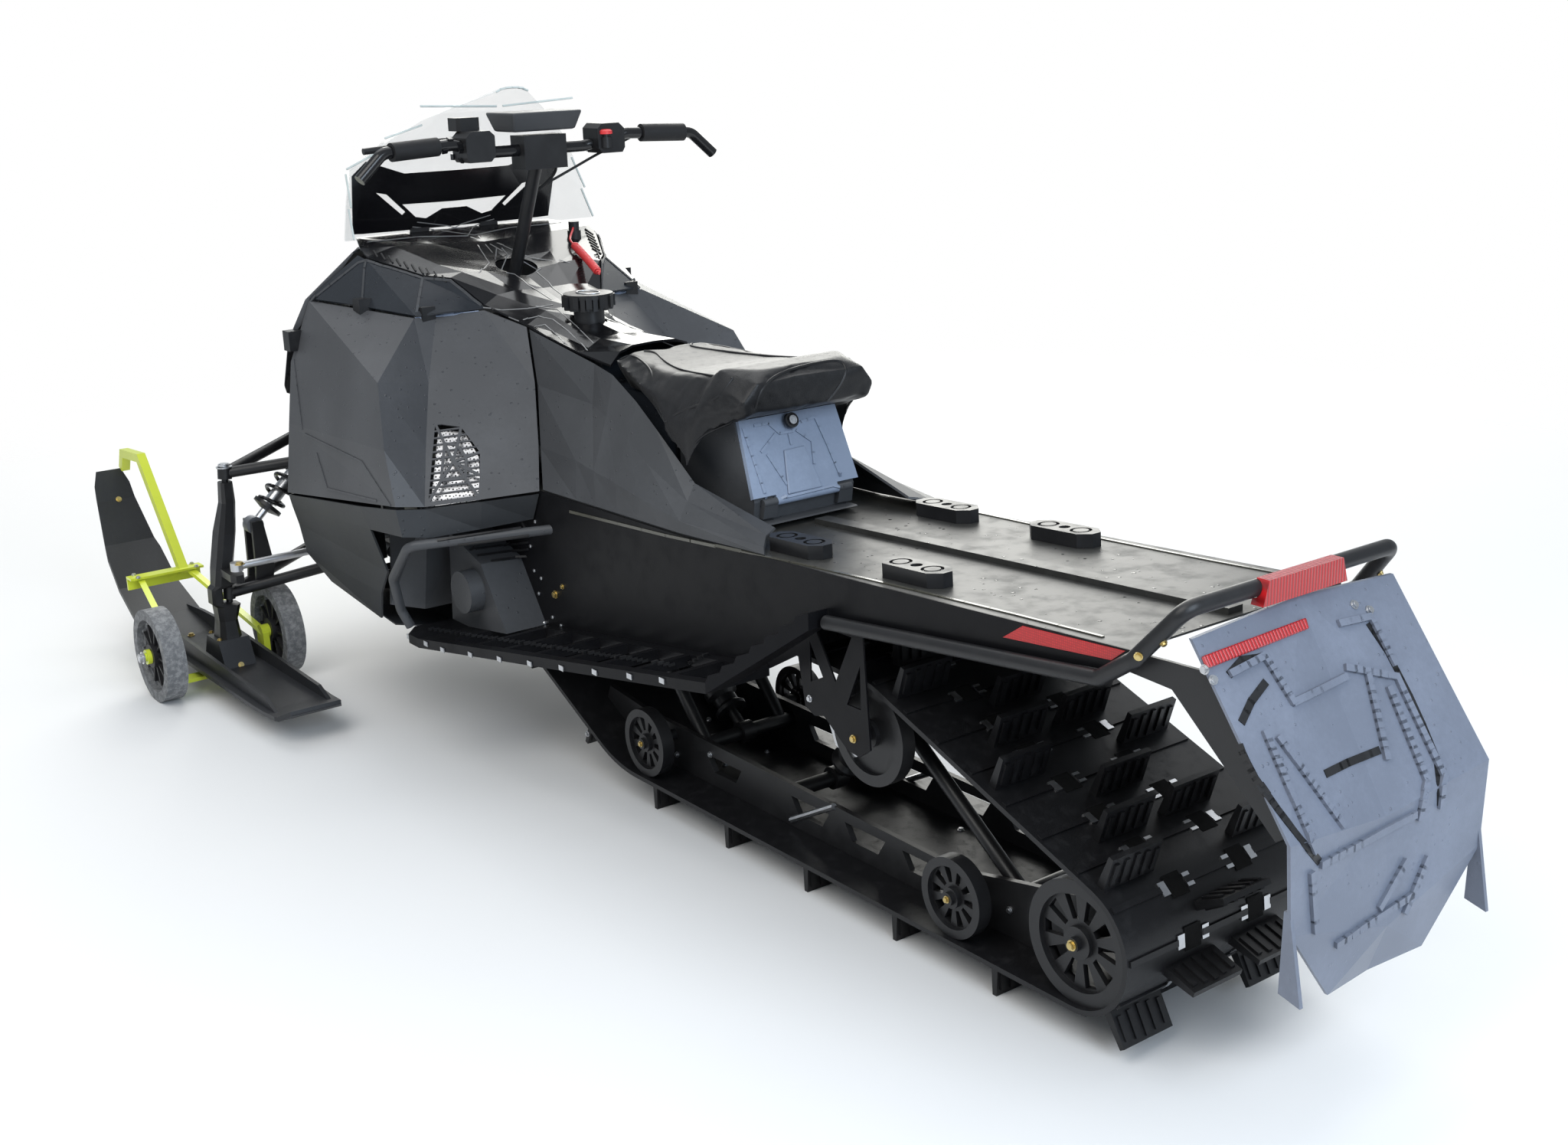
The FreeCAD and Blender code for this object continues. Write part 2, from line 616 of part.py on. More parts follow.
# Snow flap: three bent panels, ribbed, hung from the bumper corners
FLAP_SKIN = 5.0
flap_rows = (
    across([(-186.0, 0, 640.0), (-186.0, TUNNEL_HALF - 9, 628.0)]),
    across([(-330.0, 0, 392.0), (-341.0, TUNNEL_HALF - 7, 416.0)]),
    across([(-342.0, 0, 250.0), (-342.0, TUNNEL_HALF - 15, 301.0)]),
    across([(-318.0, 0, 180.0), (-330.0, 96.0, 185.0)]),
)
flap = facet_panel(flap_rows, (-FLAP_SKIN, 0, 0))
ear_outline = [(-345, 330), (-337, 330), (-334, 222), (-366, 214)]
ears = both_sides(side_prism(ear_outline, TUNNEL_HALF - 19, TUNNEL_HALF - 13))
save("snow_flap", fused([flap] + ears))


def flap_x(z):
    """Station of the flap's front face beside its edge, above the bend."""
    return -186.0 - (628.0 - z) * 155.0 / 212.0


# Flap struts: plates behind the flap's edges, bolted to the inside of the tunnel
strut_outline = [(-70, 562), (-70, 586), (-150, 590), (flap_x(592) - 3, 592), (flap_x(424) - 3, 424),
                 (flap_x(424) + 14, 412), (-160, 556)]
strut = seated(side_prism(strut_outline, TUNNEL_HALF - 17, TUNNEL_HALF - 12), flap)
boss = rod((-88, TUNNEL_HALF - 12, 574), (-88, TUNNEL_HALF, 574), 8.0)
save("flap_struts", *both_sides(fused([strut, boss])))


# Moulded panels of the left side. Each table row runs front to rear and holds (x, y, z) corners;
# the rows go from the top edge down.
INTO_BODY = (0, -SKIN, 0)
INTO_CORNER = (0.8 * SKIN, -0.6 * SKIN, 0)
INTO_AND_DOWN = (0, -0.6 * SKIN, -0.8 * SKIN)
EDGE_Y = TUNNEL_OUTER + 3.0
PANEL_ROWS = (
    ((1949, 347, 843), (1668, 258, 826), (1664, 214, 826), (1618, 135, 832), (1530, 94, 804)),
    ((1988, 382, 720), (1547, 400, 737), (1581, 282, 716), (1546, 236, 714), (1460, 124, 710)),
    ((1975, 405, 600), (1480, 430, 626), (1497, 340, 612), (1441, 262, 612), (1377, 172, 612)),
    ((1989, 418, 456), (1440, 437, 530), (1425, 387, 524), (1372, 299, 532), (1316, EDGE_Y, 542)),
)
PANEL_RETURN = (
    ((1985, 382, 706), (2060, 196, 700)),
    ((1975, 405, 600), (2062, 196, 600)),
    ((1989, 418, 456), (2066, 196, 462)),
)
# the rear facet's lower front corner, the way along its lower edge and a way up it
VENT_CORNER = V(1425.0, 387.0, 524.0)
VENT_ALONG = unit(V(-106.0, -176.0, 17.0))
VENT_OUT = unit(VENT_ALONG.cross(V(143.0, -244.0, 264.0)))
VENT_UP = VENT_OUT.cross(VENT_ALONG)
VENT_REACH = 40.0
# vent outline and the knots of its web, as lengths along and up the facet
VENT = ((31, 176), (78, 161), (108, 101), (104, 52), (97, 9), (7, 9))
VENT_HUB = (58, 88)
VENT_RING = ((45, 130), (68, 123), (82, 94), (80, 70), (77, 50), (33, 51))
VENT_RIB = 5.0
SLAT_PITCH, SLAT = 15.0, 3.0


def vent_prism(outline):
    """An outline in the facet's plane, carried through the panel."""
    corners = [VENT_CORNER + VENT_ALONG * a + VENT_UP * b - VENT_OUT * VENT_REACH for a, b in outline]
    return Part.Face(Part.makePolygon(corners + [corners[0]])).extrude(VENT_OUT * 2 * VENT_REACH)


def bar_between(a, b, width):
    """A flat bar between two points of the facet."""
    run = math.hypot(b[0] - a[0], b[1] - a[1])
    along, up = -(b[1] - a[1]) / run * width / 2, (b[0] - a[0]) / run * width / 2
    return vent_prism([(a[0] + along, a[1] + up), (b[0] + along, b[1] + up),
                       (b[0] - along, b[1] - up), (a[0] - along, a[1] - up)])


def make_vent_holes():
    """The open cells that are left between the web's ribs and slats."""
    bars = []
    for corner, knot, following in zip(VENT, VENT_RING, VENT_RING[1:] + VENT_RING[:1]):
        bars.append(bar_between(corner, knot, VENT_RIB))
        bars.append(bar_between(knot, VENT_HUB, VENT_RIB))
        bars.append(bar_between(knot, following, VENT_RIB))
    left, right = min(a for a, b in VENT), max(a for a, b in VENT)
    low, high = min(b for a, b in VENT), max(b for a, b in VENT)
    for k in range(1, int((high - low) / SLAT_PITCH) + 1):
        up = low + k * SLAT_PITCH
        bars.append(bar_between((left, up), (right, up), SLAT))
    return vent_prism(VENT).cut(bars[0].multiFuse(bars[1:]))


side_panel = facet_panel(PANEL_ROWS, INTO_CORNER).cut(make_vent_holes())
panel_return = facet_panel(PANEL_RETURN, (-SKIN, 0, 0))
side_panel = fused([side_panel, panel_return])
save("side_panel_left", side_panel)
save("side_panel_right", mirrored(side_panel))

# Lower belly panel with the strip that runs back under the vent
BELLY_ROWS = (
    ((1990, 416, 451), (1590, 440, 504)),
    ((1992, 410, 425), (1570, 432, 462)),
    ((1992, 400, 385), (1561, 410, 377)),
    ((1992, 390, 323), (1620, 400, 321)),
    ((1952, 360, 262), (1677, 380, 252)),
)
STRIP_ROWS = (
    ((1590, 440, 504), (1440, 437, 524), (1427, 387, 519), (1373, 299, 527), (1318, EDGE_Y, 536)),
    ((1570, 432, 462), (1434, 432, 474), (1422, 384, 466), (1384, 299, 474), (1346, EDGE_Y, 484)),
)
BELLY_RETURN = tuple((row[0], (2066 - k * 5, 190, row[0][2])) for k, row in enumerate(BELLY_ROWS))
belly_panel = fused([facet_panel(BELLY_ROWS, INTO_BODY), facet_panel(STRIP_ROWS, INTO_CORNER),
                     facet_panel(BELLY_RETURN, (-SKIN, 0, 0))])
save("belly_panel_left", belly_panel)
save("belly_panel_right", mirrored(belly_panel))

# Upper cowl, the smoked facets between side panel and console
COWL_ROWS = (
    ((1864, 272, 932), (1838, 266, 924), (1721, 207, 893), (1677, 171, 889)),
    ((1949, 345, 848), (1810, 300, 841), (1668, 256, 831), (1620, 133, 838)),
)
cowl = facet_panel(COWL_ROWS, INTO_AND_DOWN)
save("upper_cowls", *both_sides(cowl))

# Seat-side fairing, running back to a tail on the tunnel
def deck_edge(x):
    """A point just above the deck's edge, where a fairing's skin rests on it."""
    return x, TUNNEL_OUTER - 2.0, deck_z(x) + 0.8 * SKIN + FIT


FAIRING_ROWS = (
    ((1525, 91, 800), (1280, 100, SEAT_REST + 38), (1188, 120, SEAT_REST + 32), (1085, 140, SEAT_REST + 2),
     (1013, 150, SEAT_REST - 32), (891, 158, SEAT_REST - 105), (700, 140, deck_z(700) + 26)),
    ((1455, 121, 706), (1245, 130, 700), (1165, 152, 692), (1075, 168, 668),
     (1005, 177, 640), (880, 182, 597), (685, 168, deck_z(685) + 20)),
    ((1371, 171, 608), (1215, 190, 612), (1145, 197, 606), (1065, 202, 598),
     (995, 205, 588), (872, 205, 570), (660, 192, deck_z(660) + 10)),
    (deck_edge(1311), deck_edge(1195), deck_edge(1130), deck_edge(1060),
     deck_edge(990), deck_edge(868), deck_edge(640)),
)
fairing = facet_panel(FAIRING_ROWS, INTO_AND_DOWN)
save("fairings", *both_sides(fairing))

# Console over the tank: rows from the rear, half a row from the centre line outwards
# station, y, and for the rear rows the height above the seat rest
CONSOLE_REAR = (
    ((1232, 0, 73), (1234, 45, 71), (1236, 72, 62), (1238, 92, 40)),
    ((1345, 0, 75), (1345, 45, 70), (1345, 72, 56), (1345, 93, 51)),
    ((1461, 0, 92), (1461, 45, 85), (1461, 70, 71), (1461, 91, 68)),
    ((1530, 0, 108), (1530, 50, 104), (1530, 74, 91), (1530, 91, 82)),
)
CONSOLE_FRONT = (
    ((1623, 0, 860), (1623, 62, 862), (1622, 102, 858), (1621, 130, 842)),
    ((1700, 0, 885), (1698, 80, 895), (1690, 138, 900), (1680, 168, 893)),
    ((1760, 0, 905), (1758, 100, 913), (1742, 160, 912), (1724, 204, 898)),
    ((1850, 0, 935), (1850, 110, 940), (1848, 200, 944), (1842, 262, 930)),
    ((1976, 0, 955), (1976, 115, 955), (1974, 222, 955), (1872, 262, 944)),
)
CONSOLE_HALF = [[(x, y, SEAT_REST + rise) for x, y, rise in row] for row in CONSOLE_REAR] + list(CONSOLE_FRONT)
TANK_TOP = SEAT_REST + 63.3
CAP_X, CAP_RADIUS, NECK_RADIUS = 1454.0, 47.0, 29.0
CAP_LOW = TANK_TOP + 46.0
CAP_HIGH = CAP_LOW + 30.0
post_unit = unit(POST_SLOPE)
post_end = CLAMP + post_unit * POST_LENGTH
console = facet_panel([across(row) for row in CONSOLE_HALF], (0, 0, -SKIN))
post_hole = rod(CLAMP + post_unit * 200, CLAMP + post_unit * 340, 42.0)
neck_hole = rod((CAP_X, 0, TANK_TOP - 60), (CAP_X, 0, CAP_HIGH), NECK_RADIUS + 5)
console = console.cut(post_hole).cut(neck_hole)
save("console", console)

# Fuel tank under console and seat, narrowing upwards, and its scalloped cap
tank_front, tank_rear = 1600.0, 1030.0
tank = side_prism([(tank_rear, deck_z(tank_rear) + FIT), (tank_front, deck_z(tank_rear) + FIT),
                   (tank_front, 700), (1505, TANK_TOP), (1400, TANK_TOP), (1310, TANK_TOP - 25),
                   (1280, SEAT_REST), (tank_rear, SEAT_REST)], -140, 140)
tank_low = deck_z(tank_front)
tank_section = front_prism([(-140, tank_low), (140, tank_low), (140, tank_low + 60), (66, TANK_TOP - 25),
                            (44, TANK_TOP), (-44, TANK_TOP), (-66, TANK_TOP - 25), (-140, tank_low + 60)],
                           tank_rear, tank_front)
tank = tank.common(tank_section)
save("fuel_tank", tank)
cap = rod((CAP_X, 0, CAP_LOW), (CAP_X, 0, CAP_HIGH), CAP_RADIUS)
SCALLOPS = 12
for k in range(SCALLOPS):
    angle = 2 * math.pi * k / SCALLOPS
    sx, sy = CAP_X + CAP_RADIUS * 1.08 * math.cos(angle), CAP_RADIUS * 1.08 * math.sin(angle)
    cap = cap.cut(rod((sx, sy, CAP_LOW - 1), (sx, sy, CAP_HIGH - 8), 9.0))
neck = rod((CAP_X, 0, TANK_TOP + FIT), (CAP_X, 0, CAP_LOW), NECK_RADIUS)
save("gas_cap", fused([cap, neck]))

# Dash wing: the upright wall behind the windshield, with one long slot low down and a slanted one on each side
WING_TOP = ((1942, 0, 1075), (1942, 120, 1076), (1930, 205, 1105), (1941, 233, 1078))
WING_LOW = ((1978, 0, 959), (1978, 120, 959), (1977, 205, 960), (1976, 227, 961))
LONG_SLOT = ((0, 1011), (120, 1013), (89, 985), (64, 980), (27, 998), (0, 998))
SLANTED_SLOT = ((180, 1041), (156, 1036), (112, 997), (119, 991))
wing = facet_panel((across(WING_TOP), across(WING_LOW)), (3.0, 0, 0))
for slot in (LONG_SLOT, SLANTED_SLOT):
    opening = front_prism(slot, 1900, 2000)
    wing = wing.cut(opening).cut(mirrored(opening))
save("dash_wing", wing)

# Windshield: a clear sheet that leans back to a narrow top
SHIELD_HALF = (
    ((1688, 0, 1240), (1689, 14, 1239), (1690, 25, 1237), (1691, 34, 1232)),
    ((1888, 0, 1190), (1885, 55, 1190), (1855, 110, 1188), (1800, 141, 1184)),
    ((1948, 0, 1142), (1945, 85, 1143), (1920, 165, 1143), (1850, 199, 1142)),
    ((1990, 0, 1086), (1988, 110, 1087), (1975, 222, 1087), (1908, 258, 1086)),
    ((2014, 0, 1020), (2011, 115, 1020), (1992, 228, 1020), (1892, 267, 1020)),
    ((2036, 0, 938), (2032, 115, 939), (2012, 230, 945), (1876, 274, 960)),
)
shield = facet_panel([across(row) for row in SHIELD_HALF], (3.5, 0, 2.0))
shield_pegs = [seated(rod((1942, side * y, z), (2018, side * y, z), 6.0), wing, shield)
               for side in (1, -1) for y, z in ((215, 1000), (60, 1040))]
save("windshield", shield.multiFuse(shield_pegs))

# Hood and nose: rows from the windshield forward, half rows from the centre line outwards
HOOD_HALF = (
    ((1984, 0, 951), (1982, 150, 951), (1884, 272, 938), (1957, 351, 845)),
    ((2050, 0, 930), (2044, 190, 927), (2005, 290, 868), (1998, 379, 762)),
    ((2120, 0, 865), (2120, 140, 850), (2110, 270, 790), (2060, 372, 664)),
    ((2300, 0, 775), (2300, 110, 762), (2290, 210, 710), (2270, 285, 610)),
    ((2440, 0, 670), (2435, 90, 660), (2425, 150, 630), (2410, 200, 570)),
)
hood = facet_panel([across(row) for row in HOOD_HALF], (0, 0, -SKIN))
save("hood", hood)
LAMP_TOP = ((2446, 0, 660), (2441, 90, 650), (2431, 148, 620), (2418, 192, 572))
LAMP_LOW = ((2486, 0, 560), (2474, 90, 556), (2448, 150, 545), (2426, 190, 530))
headlight = facet_panel((across(LAMP_TOP), across(LAMP_LOW)), (-6.0, 0, 0))
save("headlight", headlight)
NOSE_TOP = ((2484, 0, 555), (2472, 90, 551), (2446, 150, 540), (2424, 188, 525))
NOSE_LOW = ((2482, 0, 442), (2478, 68, 446), (2440, 100, 450), (2420, 130, 454))
nose = facet_panel((across(NOSE_TOP), across(NOSE_LOW)), (-SKIN, 0, 0))
save("nose", nose)

# Belly pan under the engine bay, rising at the front
PAN_HALF = (
    ((1640, 0, 204), (1640, 225, 206), (1640, 368, 244)),
    ((1948, 0, 206), (1948, 215, 212), (1948, 348, 254)),
    ((2040, 0, 222), (2040, 118, 228), (2040, 136, 235)),
    ((2340, 0, 226), (2340, 118, 230), (2340, 134, 236)),
    ((2440, 0, 330), (2440, 90, 338), (2436, 108, 350)),
    ((2476, 0, 430), (2472, 64, 434), (2434, 96, 438)),
)
belly_pan = facet_panel([across(row) for row in PAN_HALF], (-0.6 * SKIN, 0, 0.8 * SKIN))
save("belly_pan", belly_pan)

# Front chassis: side plates, floor, post bearing, shock pins and the tie-rod guide
PLATE_OUT = ARM_INNER_Y - ARM_RADIUS - 2 - FIT
PLATE_IN = PLATE_OUT - 6.0
FLOOR_PLATE_Z = 240.4
SHOCK_TOP = V(2217.0, 172.0, 575.0)
SHOCK_FOOT = V(2221.0, 412.0, 342.0)
PIN_RADIUS = 8.0
LINK_X, LINK_Z, LINK_RADIUS = 2090.0, 300.0, 10.0
BULKHEAD_REAR_X, BULKHEAD_FRONT_X = TUNNEL_FRONT_X + FIT, 2400.0
bearing = post_end - post_unit * 30
plate_top = bearing.z + 35.0
plate_outline = ((BULKHEAD_REAR_X, FLOOR_PLATE_Z), (2384, FLOOR_PLATE_Z), (BULKHEAD_FRONT_X, 300),
                 (BULKHEAD_FRONT_X, 340), (2384, 590), (2250, plate_top), (1800, plate_top), (BULKHEAD_REAR_X, 530))
plate = side_prism(plate_outline, PLATE_IN, PLATE_OUT)
for hole in (((1720, 300), (1980, 300), (1940, 540), (1760, 520)),
             ((2030, 340), (2140, 340), (2140, 520), (2030, 560)),
             ((2250, 300), (2350, 320), (2330, 520), (2250, 470)),
             ((2060, 272), (2122, 272), (2122, 328), (2060, 328))):
    plate = plate.cut(side_prism(hole, PLATE_IN - 1, PLATE_OUT + 1))
pin_half = 38.0
pin = rod((SHOCK_TOP.x - pin_half, SHOCK_TOP.y, SHOCK_TOP.z), (SHOCK_TOP.x + pin_half, SHOCK_TOP.y, SHOCK_TOP.z),
          PIN_RADIUS)
ears = [block(x, x + 8, PLATE_OUT, SHOCK_TOP.y + 14, SHOCK_TOP.z - 16, SHOCK_TOP.z + 16)
        for x in (SHOCK_TOP.x - pin_half, SHOCK_TOP.x + pin_half - 8)]
side_frame = fused([plate, pin] + ears)
floor_plate = block(BULKHEAD_REAR_X, 2330, -PLATE_IN, PLATE_IN, FLOOR_PLATE_Z, FLOOR_PLATE_Z + 4)
rear_wall = block(BULKHEAD_REAR_X, BULKHEAD_REAR_X + 4, -TUNNEL_OUTER, TUNNEL_OUTER, FLOOR_PLATE_Z + 10, 530)
beam = block(bearing.x - 20, bearing.x + 20, -PLATE_IN, PLATE_IN, bearing.z - 12, bearing.z + 14)
beam = beam.fuse(rod(bearing - post_unit * 16, bearing + post_unit * 16, POST_RADIUS + 12))
beam = beam.cut(rod(bearing - post_unit * 90, bearing + post_unit * 90, POST_RADIUS + FIT))
guide = block(LINK_X - 20, LINK_X + 20, -40, 40, FLOOR_PLATE_Z + 4, LINK_Z + 20)
guide = guide.cut(rod((LINK_X, -50, LINK_Z), (LINK_X, 50, LINK_Z), LINK_RADIUS + FIT))
front_tie = block(2350, 2382, -PLATE_IN, PLATE_IN, 560, 584)
bulkhead = fused([side_frame, mirrored(side_frame), floor_plate, rear_wall, beam, guide, front_tie])
save("bulkhead", bulkhead)

# Mounts that hold the body panels: pegs from the chassis, and tabs behind the seams
plate_middle = (PLATE_IN + PLATE_OUT) / 2
left_mounts = [
    seated(rod((1800, PLATE_IN, 600), (1800, 500, 600), 7.0), bulkhead, side_panel),
    seated(rod((1850, PLATE_IN, 300), (1850, 450, 300), 7.0), bulkhead, belly_panel),
    seated(rod((1750, 100, 190), (1750, 100, 242), 7.0), bulkhead, belly_pan),
    seated(rod((2200, plate_middle, plate_top - 20), (2200, plate_middle, 900), 7.0), bulkhead, hood),
    seated(rod((2340, 90, 572), (2500, 90, 572), 7.0), bulkhead, headlight),
    seated(rod((2340, 90, 566), (2500, 60, 500), 7.0), bulkhead, nose, headlight),
    seated(rod((1434, 42, TANK_TOP - 4), (1434, 42, TANK_TOP + 26), 7.0), tank, console),
    seated(block(1971, 1980, 60, 100, 930, 962), console, wing),
    seated(block(1660, 1690, 216, 244, 812, 845), side_panel, cowl),
    seated(block(1790, 1820, 280, 312, 826, 856), side_panel, cowl),
    seated(block(1960, 1990, 352, 392, 745, 785), side_panel, hood),
]
save("panel_mounts", *left_mounts, *[mirrored(mount) for mount in left_mounts])

# Engine: one plain block on the floor plate
save("engine_block", block(1706, 2020, -128, 128, FLOOR_PLATE_Z + 4 + FIT, bearing.z - 60))

# Front bumper: a hoop ahead of the nose, held by the front chassis plates
bumper_front = [(BULKHEAD_FRONT_X + FIT, PLATE_IN + 3, 320.0), (2468.0, PLATE_IN + 3, 320.0), (2525.0, 96.0, 470.0)]
front_path = bumper_front + [(x, -y, z) for x, y, z in reversed(bumper_front)]
save("front_bumper", bent_rod(front_path, 12.0, 26.0))


# Front suspension arms, each pair of tubes meeting at its ball housing on the kingpin line
kingpin = unit(BALL_TOP - BALL_LOW)


def suspension_arm(ball, heights, housing_radius, bore):
    parts = []
    for station, height in zip(ARM_STATIONS, heights):
        inner = V(station, ARM_INNER_Y, height)
        parts.append(rod(inner, ball, ARM_RADIUS))
        parts.append(rod(inner - V(22, 0, 0), inner + V(22, 0, 0), ARM_RADIUS + 2))
    housing_start, housing_end = ball - kingpin * 12, ball + kingpin * 14
    parts.append(rod(housing_start, housing_end, housing_radius))
    return parts, rod(ball - kingpin * 60, ball + kingpin * 60, bore), (housing_start, housing_end)


KINGPIN_PIN = 7.0
upper_parts, upper_bore, _ = suspension_arm(BALL_TOP, UPPER_INNER_Z, 15.0, KINGPIN_PIN + FIT)
upper_arm = fused(upper_parts).cut(upper_bore)
lower_parts, lower_bore, _ = suspension_arm(BALL_LOW, LOWER_INNER_Z, 13.0, KINGPIN_PIN + FIT)
shock_pin = rod((SHOCK_FOOT.x - 26, SHOCK_FOOT.y, SHOCK_FOOT.z), (SHOCK_FOOT.x + 26, SHOCK_FOOT.y, SHOCK_FOOT.z),
                PIN_RADIUS)
cheek = [(390, 224), (430, 213), (426, 250), (SHOCK_FOOT.y + 12, SHOCK_FOOT.z + 12),
         (SHOCK_FOOT.y - 12, SHOCK_FOOT.z + 12), (384, 250)]
cheeks = [front_prism(cheek, SHOCK_FOOT.x + start, SHOCK_FOOT.x + start + 9) for start in (-26, 17)]
lower_arm = fused(lower_parts + [shock_pin] + cheeks).cut(lower_bore)
save("suspension_arms", *both_sides(upper_arm), *both_sides(lower_arm))


ski_shock = coil_shock(SHOCK_FOOT, SHOCK_TOP, 18.0, PIN_RADIUS, V(1, 0, 0), 7, 32.0, 9.0)
save("ski_shocks", *both_sides(ski_shock))


# Spindle: a forged S-shaped upright, stepped outwards round the lower ball housing
# rows of height, centre x, centre y, half length along x, half width along y
SPINDLE_ROWS = (
    (446, 2223, 462, 15, 13), (400, 2229, 461, 18, 15), (335, 2236, 472, 30, 19),
    (262, 2222, 492, 30, 19), (228, 2216, 494, 24, 24), (221, 2216, 514, 22, 12),
    (189, 2214, 516, 22, 12), (182, 2213, 494, 26, 26), (150, 2211, 499, 24, 20), (113, 2211, 500, 32, 24),
)
SADDLE_TOP = 113.0


def octagon(z, x, y, half_x, half_y):
    cut = 0.42
    corners = []
    for sx, sy in ((1, 1), (-1, 1), (-1, -1), (1, -1)):
        pair = [(sx * half_x, sy * half_y * (1 - cut)), (sx * half_x * (1 - cut), sy * half_y)]
        corners += pair if sx * sy > 0 else pair[::-1]
    ring = [V(x + a, y + b, z) for a, b in corners]
    return Part.makePolygon(ring + [ring[0]])


def make_spindle():
    body = Part.makeLoft([octagon(*row) for row in SPINDLE_ROWS], True, True)
    top_pin = rod(BALL_TOP - kingpin * 30, BALL_TOP + kingpin * 12, KINGPIN_PIN)
    low_pin = rod(BALL_LOW - kingpin * 26, BALL_LOW + kingpin * 26, KINGPIN_PIN)
    steering_arm = plan_prism([(2215, 470), (2130, 478), (2112, 486), (2112, 502), (2130, 508), (2215, 504)],
                              TIE_Z - 8, TIE_Z + 8)
    return body.multiFuse([top_pin, low_pin, steering_arm])


def make_ski():
    plan = [(1757, SKI_Y - 52), (1800, SKI_Y - SKI_WIDTH / 2 + 4), (1900, SKI_Y - SKI_WIDTH / 2),
            (2600, SKI_Y - SKI_WIDTH / 2), (2790, SKI_Y - 64), (2890, SKI_Y - 42), (2915, SKI_Y - 20)]
    plan += [(x, 2 * SKI_Y - y) for x, y in reversed(plan)]
    base, plate_top = SKI_BASE_Z, SKI_BASE_Z + SKI_PLATE
    sole = [(1756, base + 20), (1790, base + 3), (1850, base), (2450, base), (2600, base + 14),
            (2720, base + 62), (2820, base + 147), (2885, base + 242), (2913, base + 311)]
    crown = [(2904, base + 315), (2875, base + 247), (2812, base + 154), (2714, base + 71),
             (2597, plate_top + 14), (2448, plate_top), (1852, plate_top), (1792, plate_top + 3), (1760, base + 28)]
    plate = side_prism(sole + crown, SKI_Y - 100, SKI_Y + 100).common(plan_prism(plan, 0, 400))
    pieces = [plate]
    wall = [(1815, plate_top - 2), (1870, plate_top + 20), (2350, plate_top + 36), (2520, plate_top + 30),
            (2620, plate_top + 22), (2600, plate_top + 8), (2446, plate_top - 3)]
    for y in (SKI_Y - 60, SKI_Y + 52):
        pieces.append(side_prism(wall, y, y + 8))
    keel = [(1840, base + 2), (1870, base - 12), (2430, base - 12), (2470, base + 2)]
    pieces.append(side_prism(keel, SKI_Y - 8, SKI_Y + 8))
    saddle = [(2150, plate_top - 2), (2272, plate_top - 2), (2244, SADDLE_TOP), (2178, SADDLE_TOP)]
    pieces.append(side_prism(saddle, SKI_Y - 34, SKI_Y + 34))
    return fused(pieces)


# Ski dolly: hook over the ski tip, long bar, cross bar, legs, cradle strap, and two axles
def thick_line(points, half):
    """Outline of a bar of constant width that follows (x, z) points, with mitred corners."""
    spots = [V(x, 0, z) for x, z in points]
    normals = []
    for a, b in zip(spots, spots[1:]):
        run = unit(b - a)
        normals.append(V(-run.z, 0, run.x))
    left, right = [], []
    for k, spot in enumerate(spots):
        before, after = normals[max(k - 1, 0)], normals[min(k, len(normals) - 1)]
        middle = unit(before + after)
        reach = half / middle.dot(after)
        left.append((spot.x + middle.x * reach, spot.z + middle.z * reach))
        right.append((spot.x - middle.x * reach, spot.z - middle.z * reach))
    return left + right[::-1]


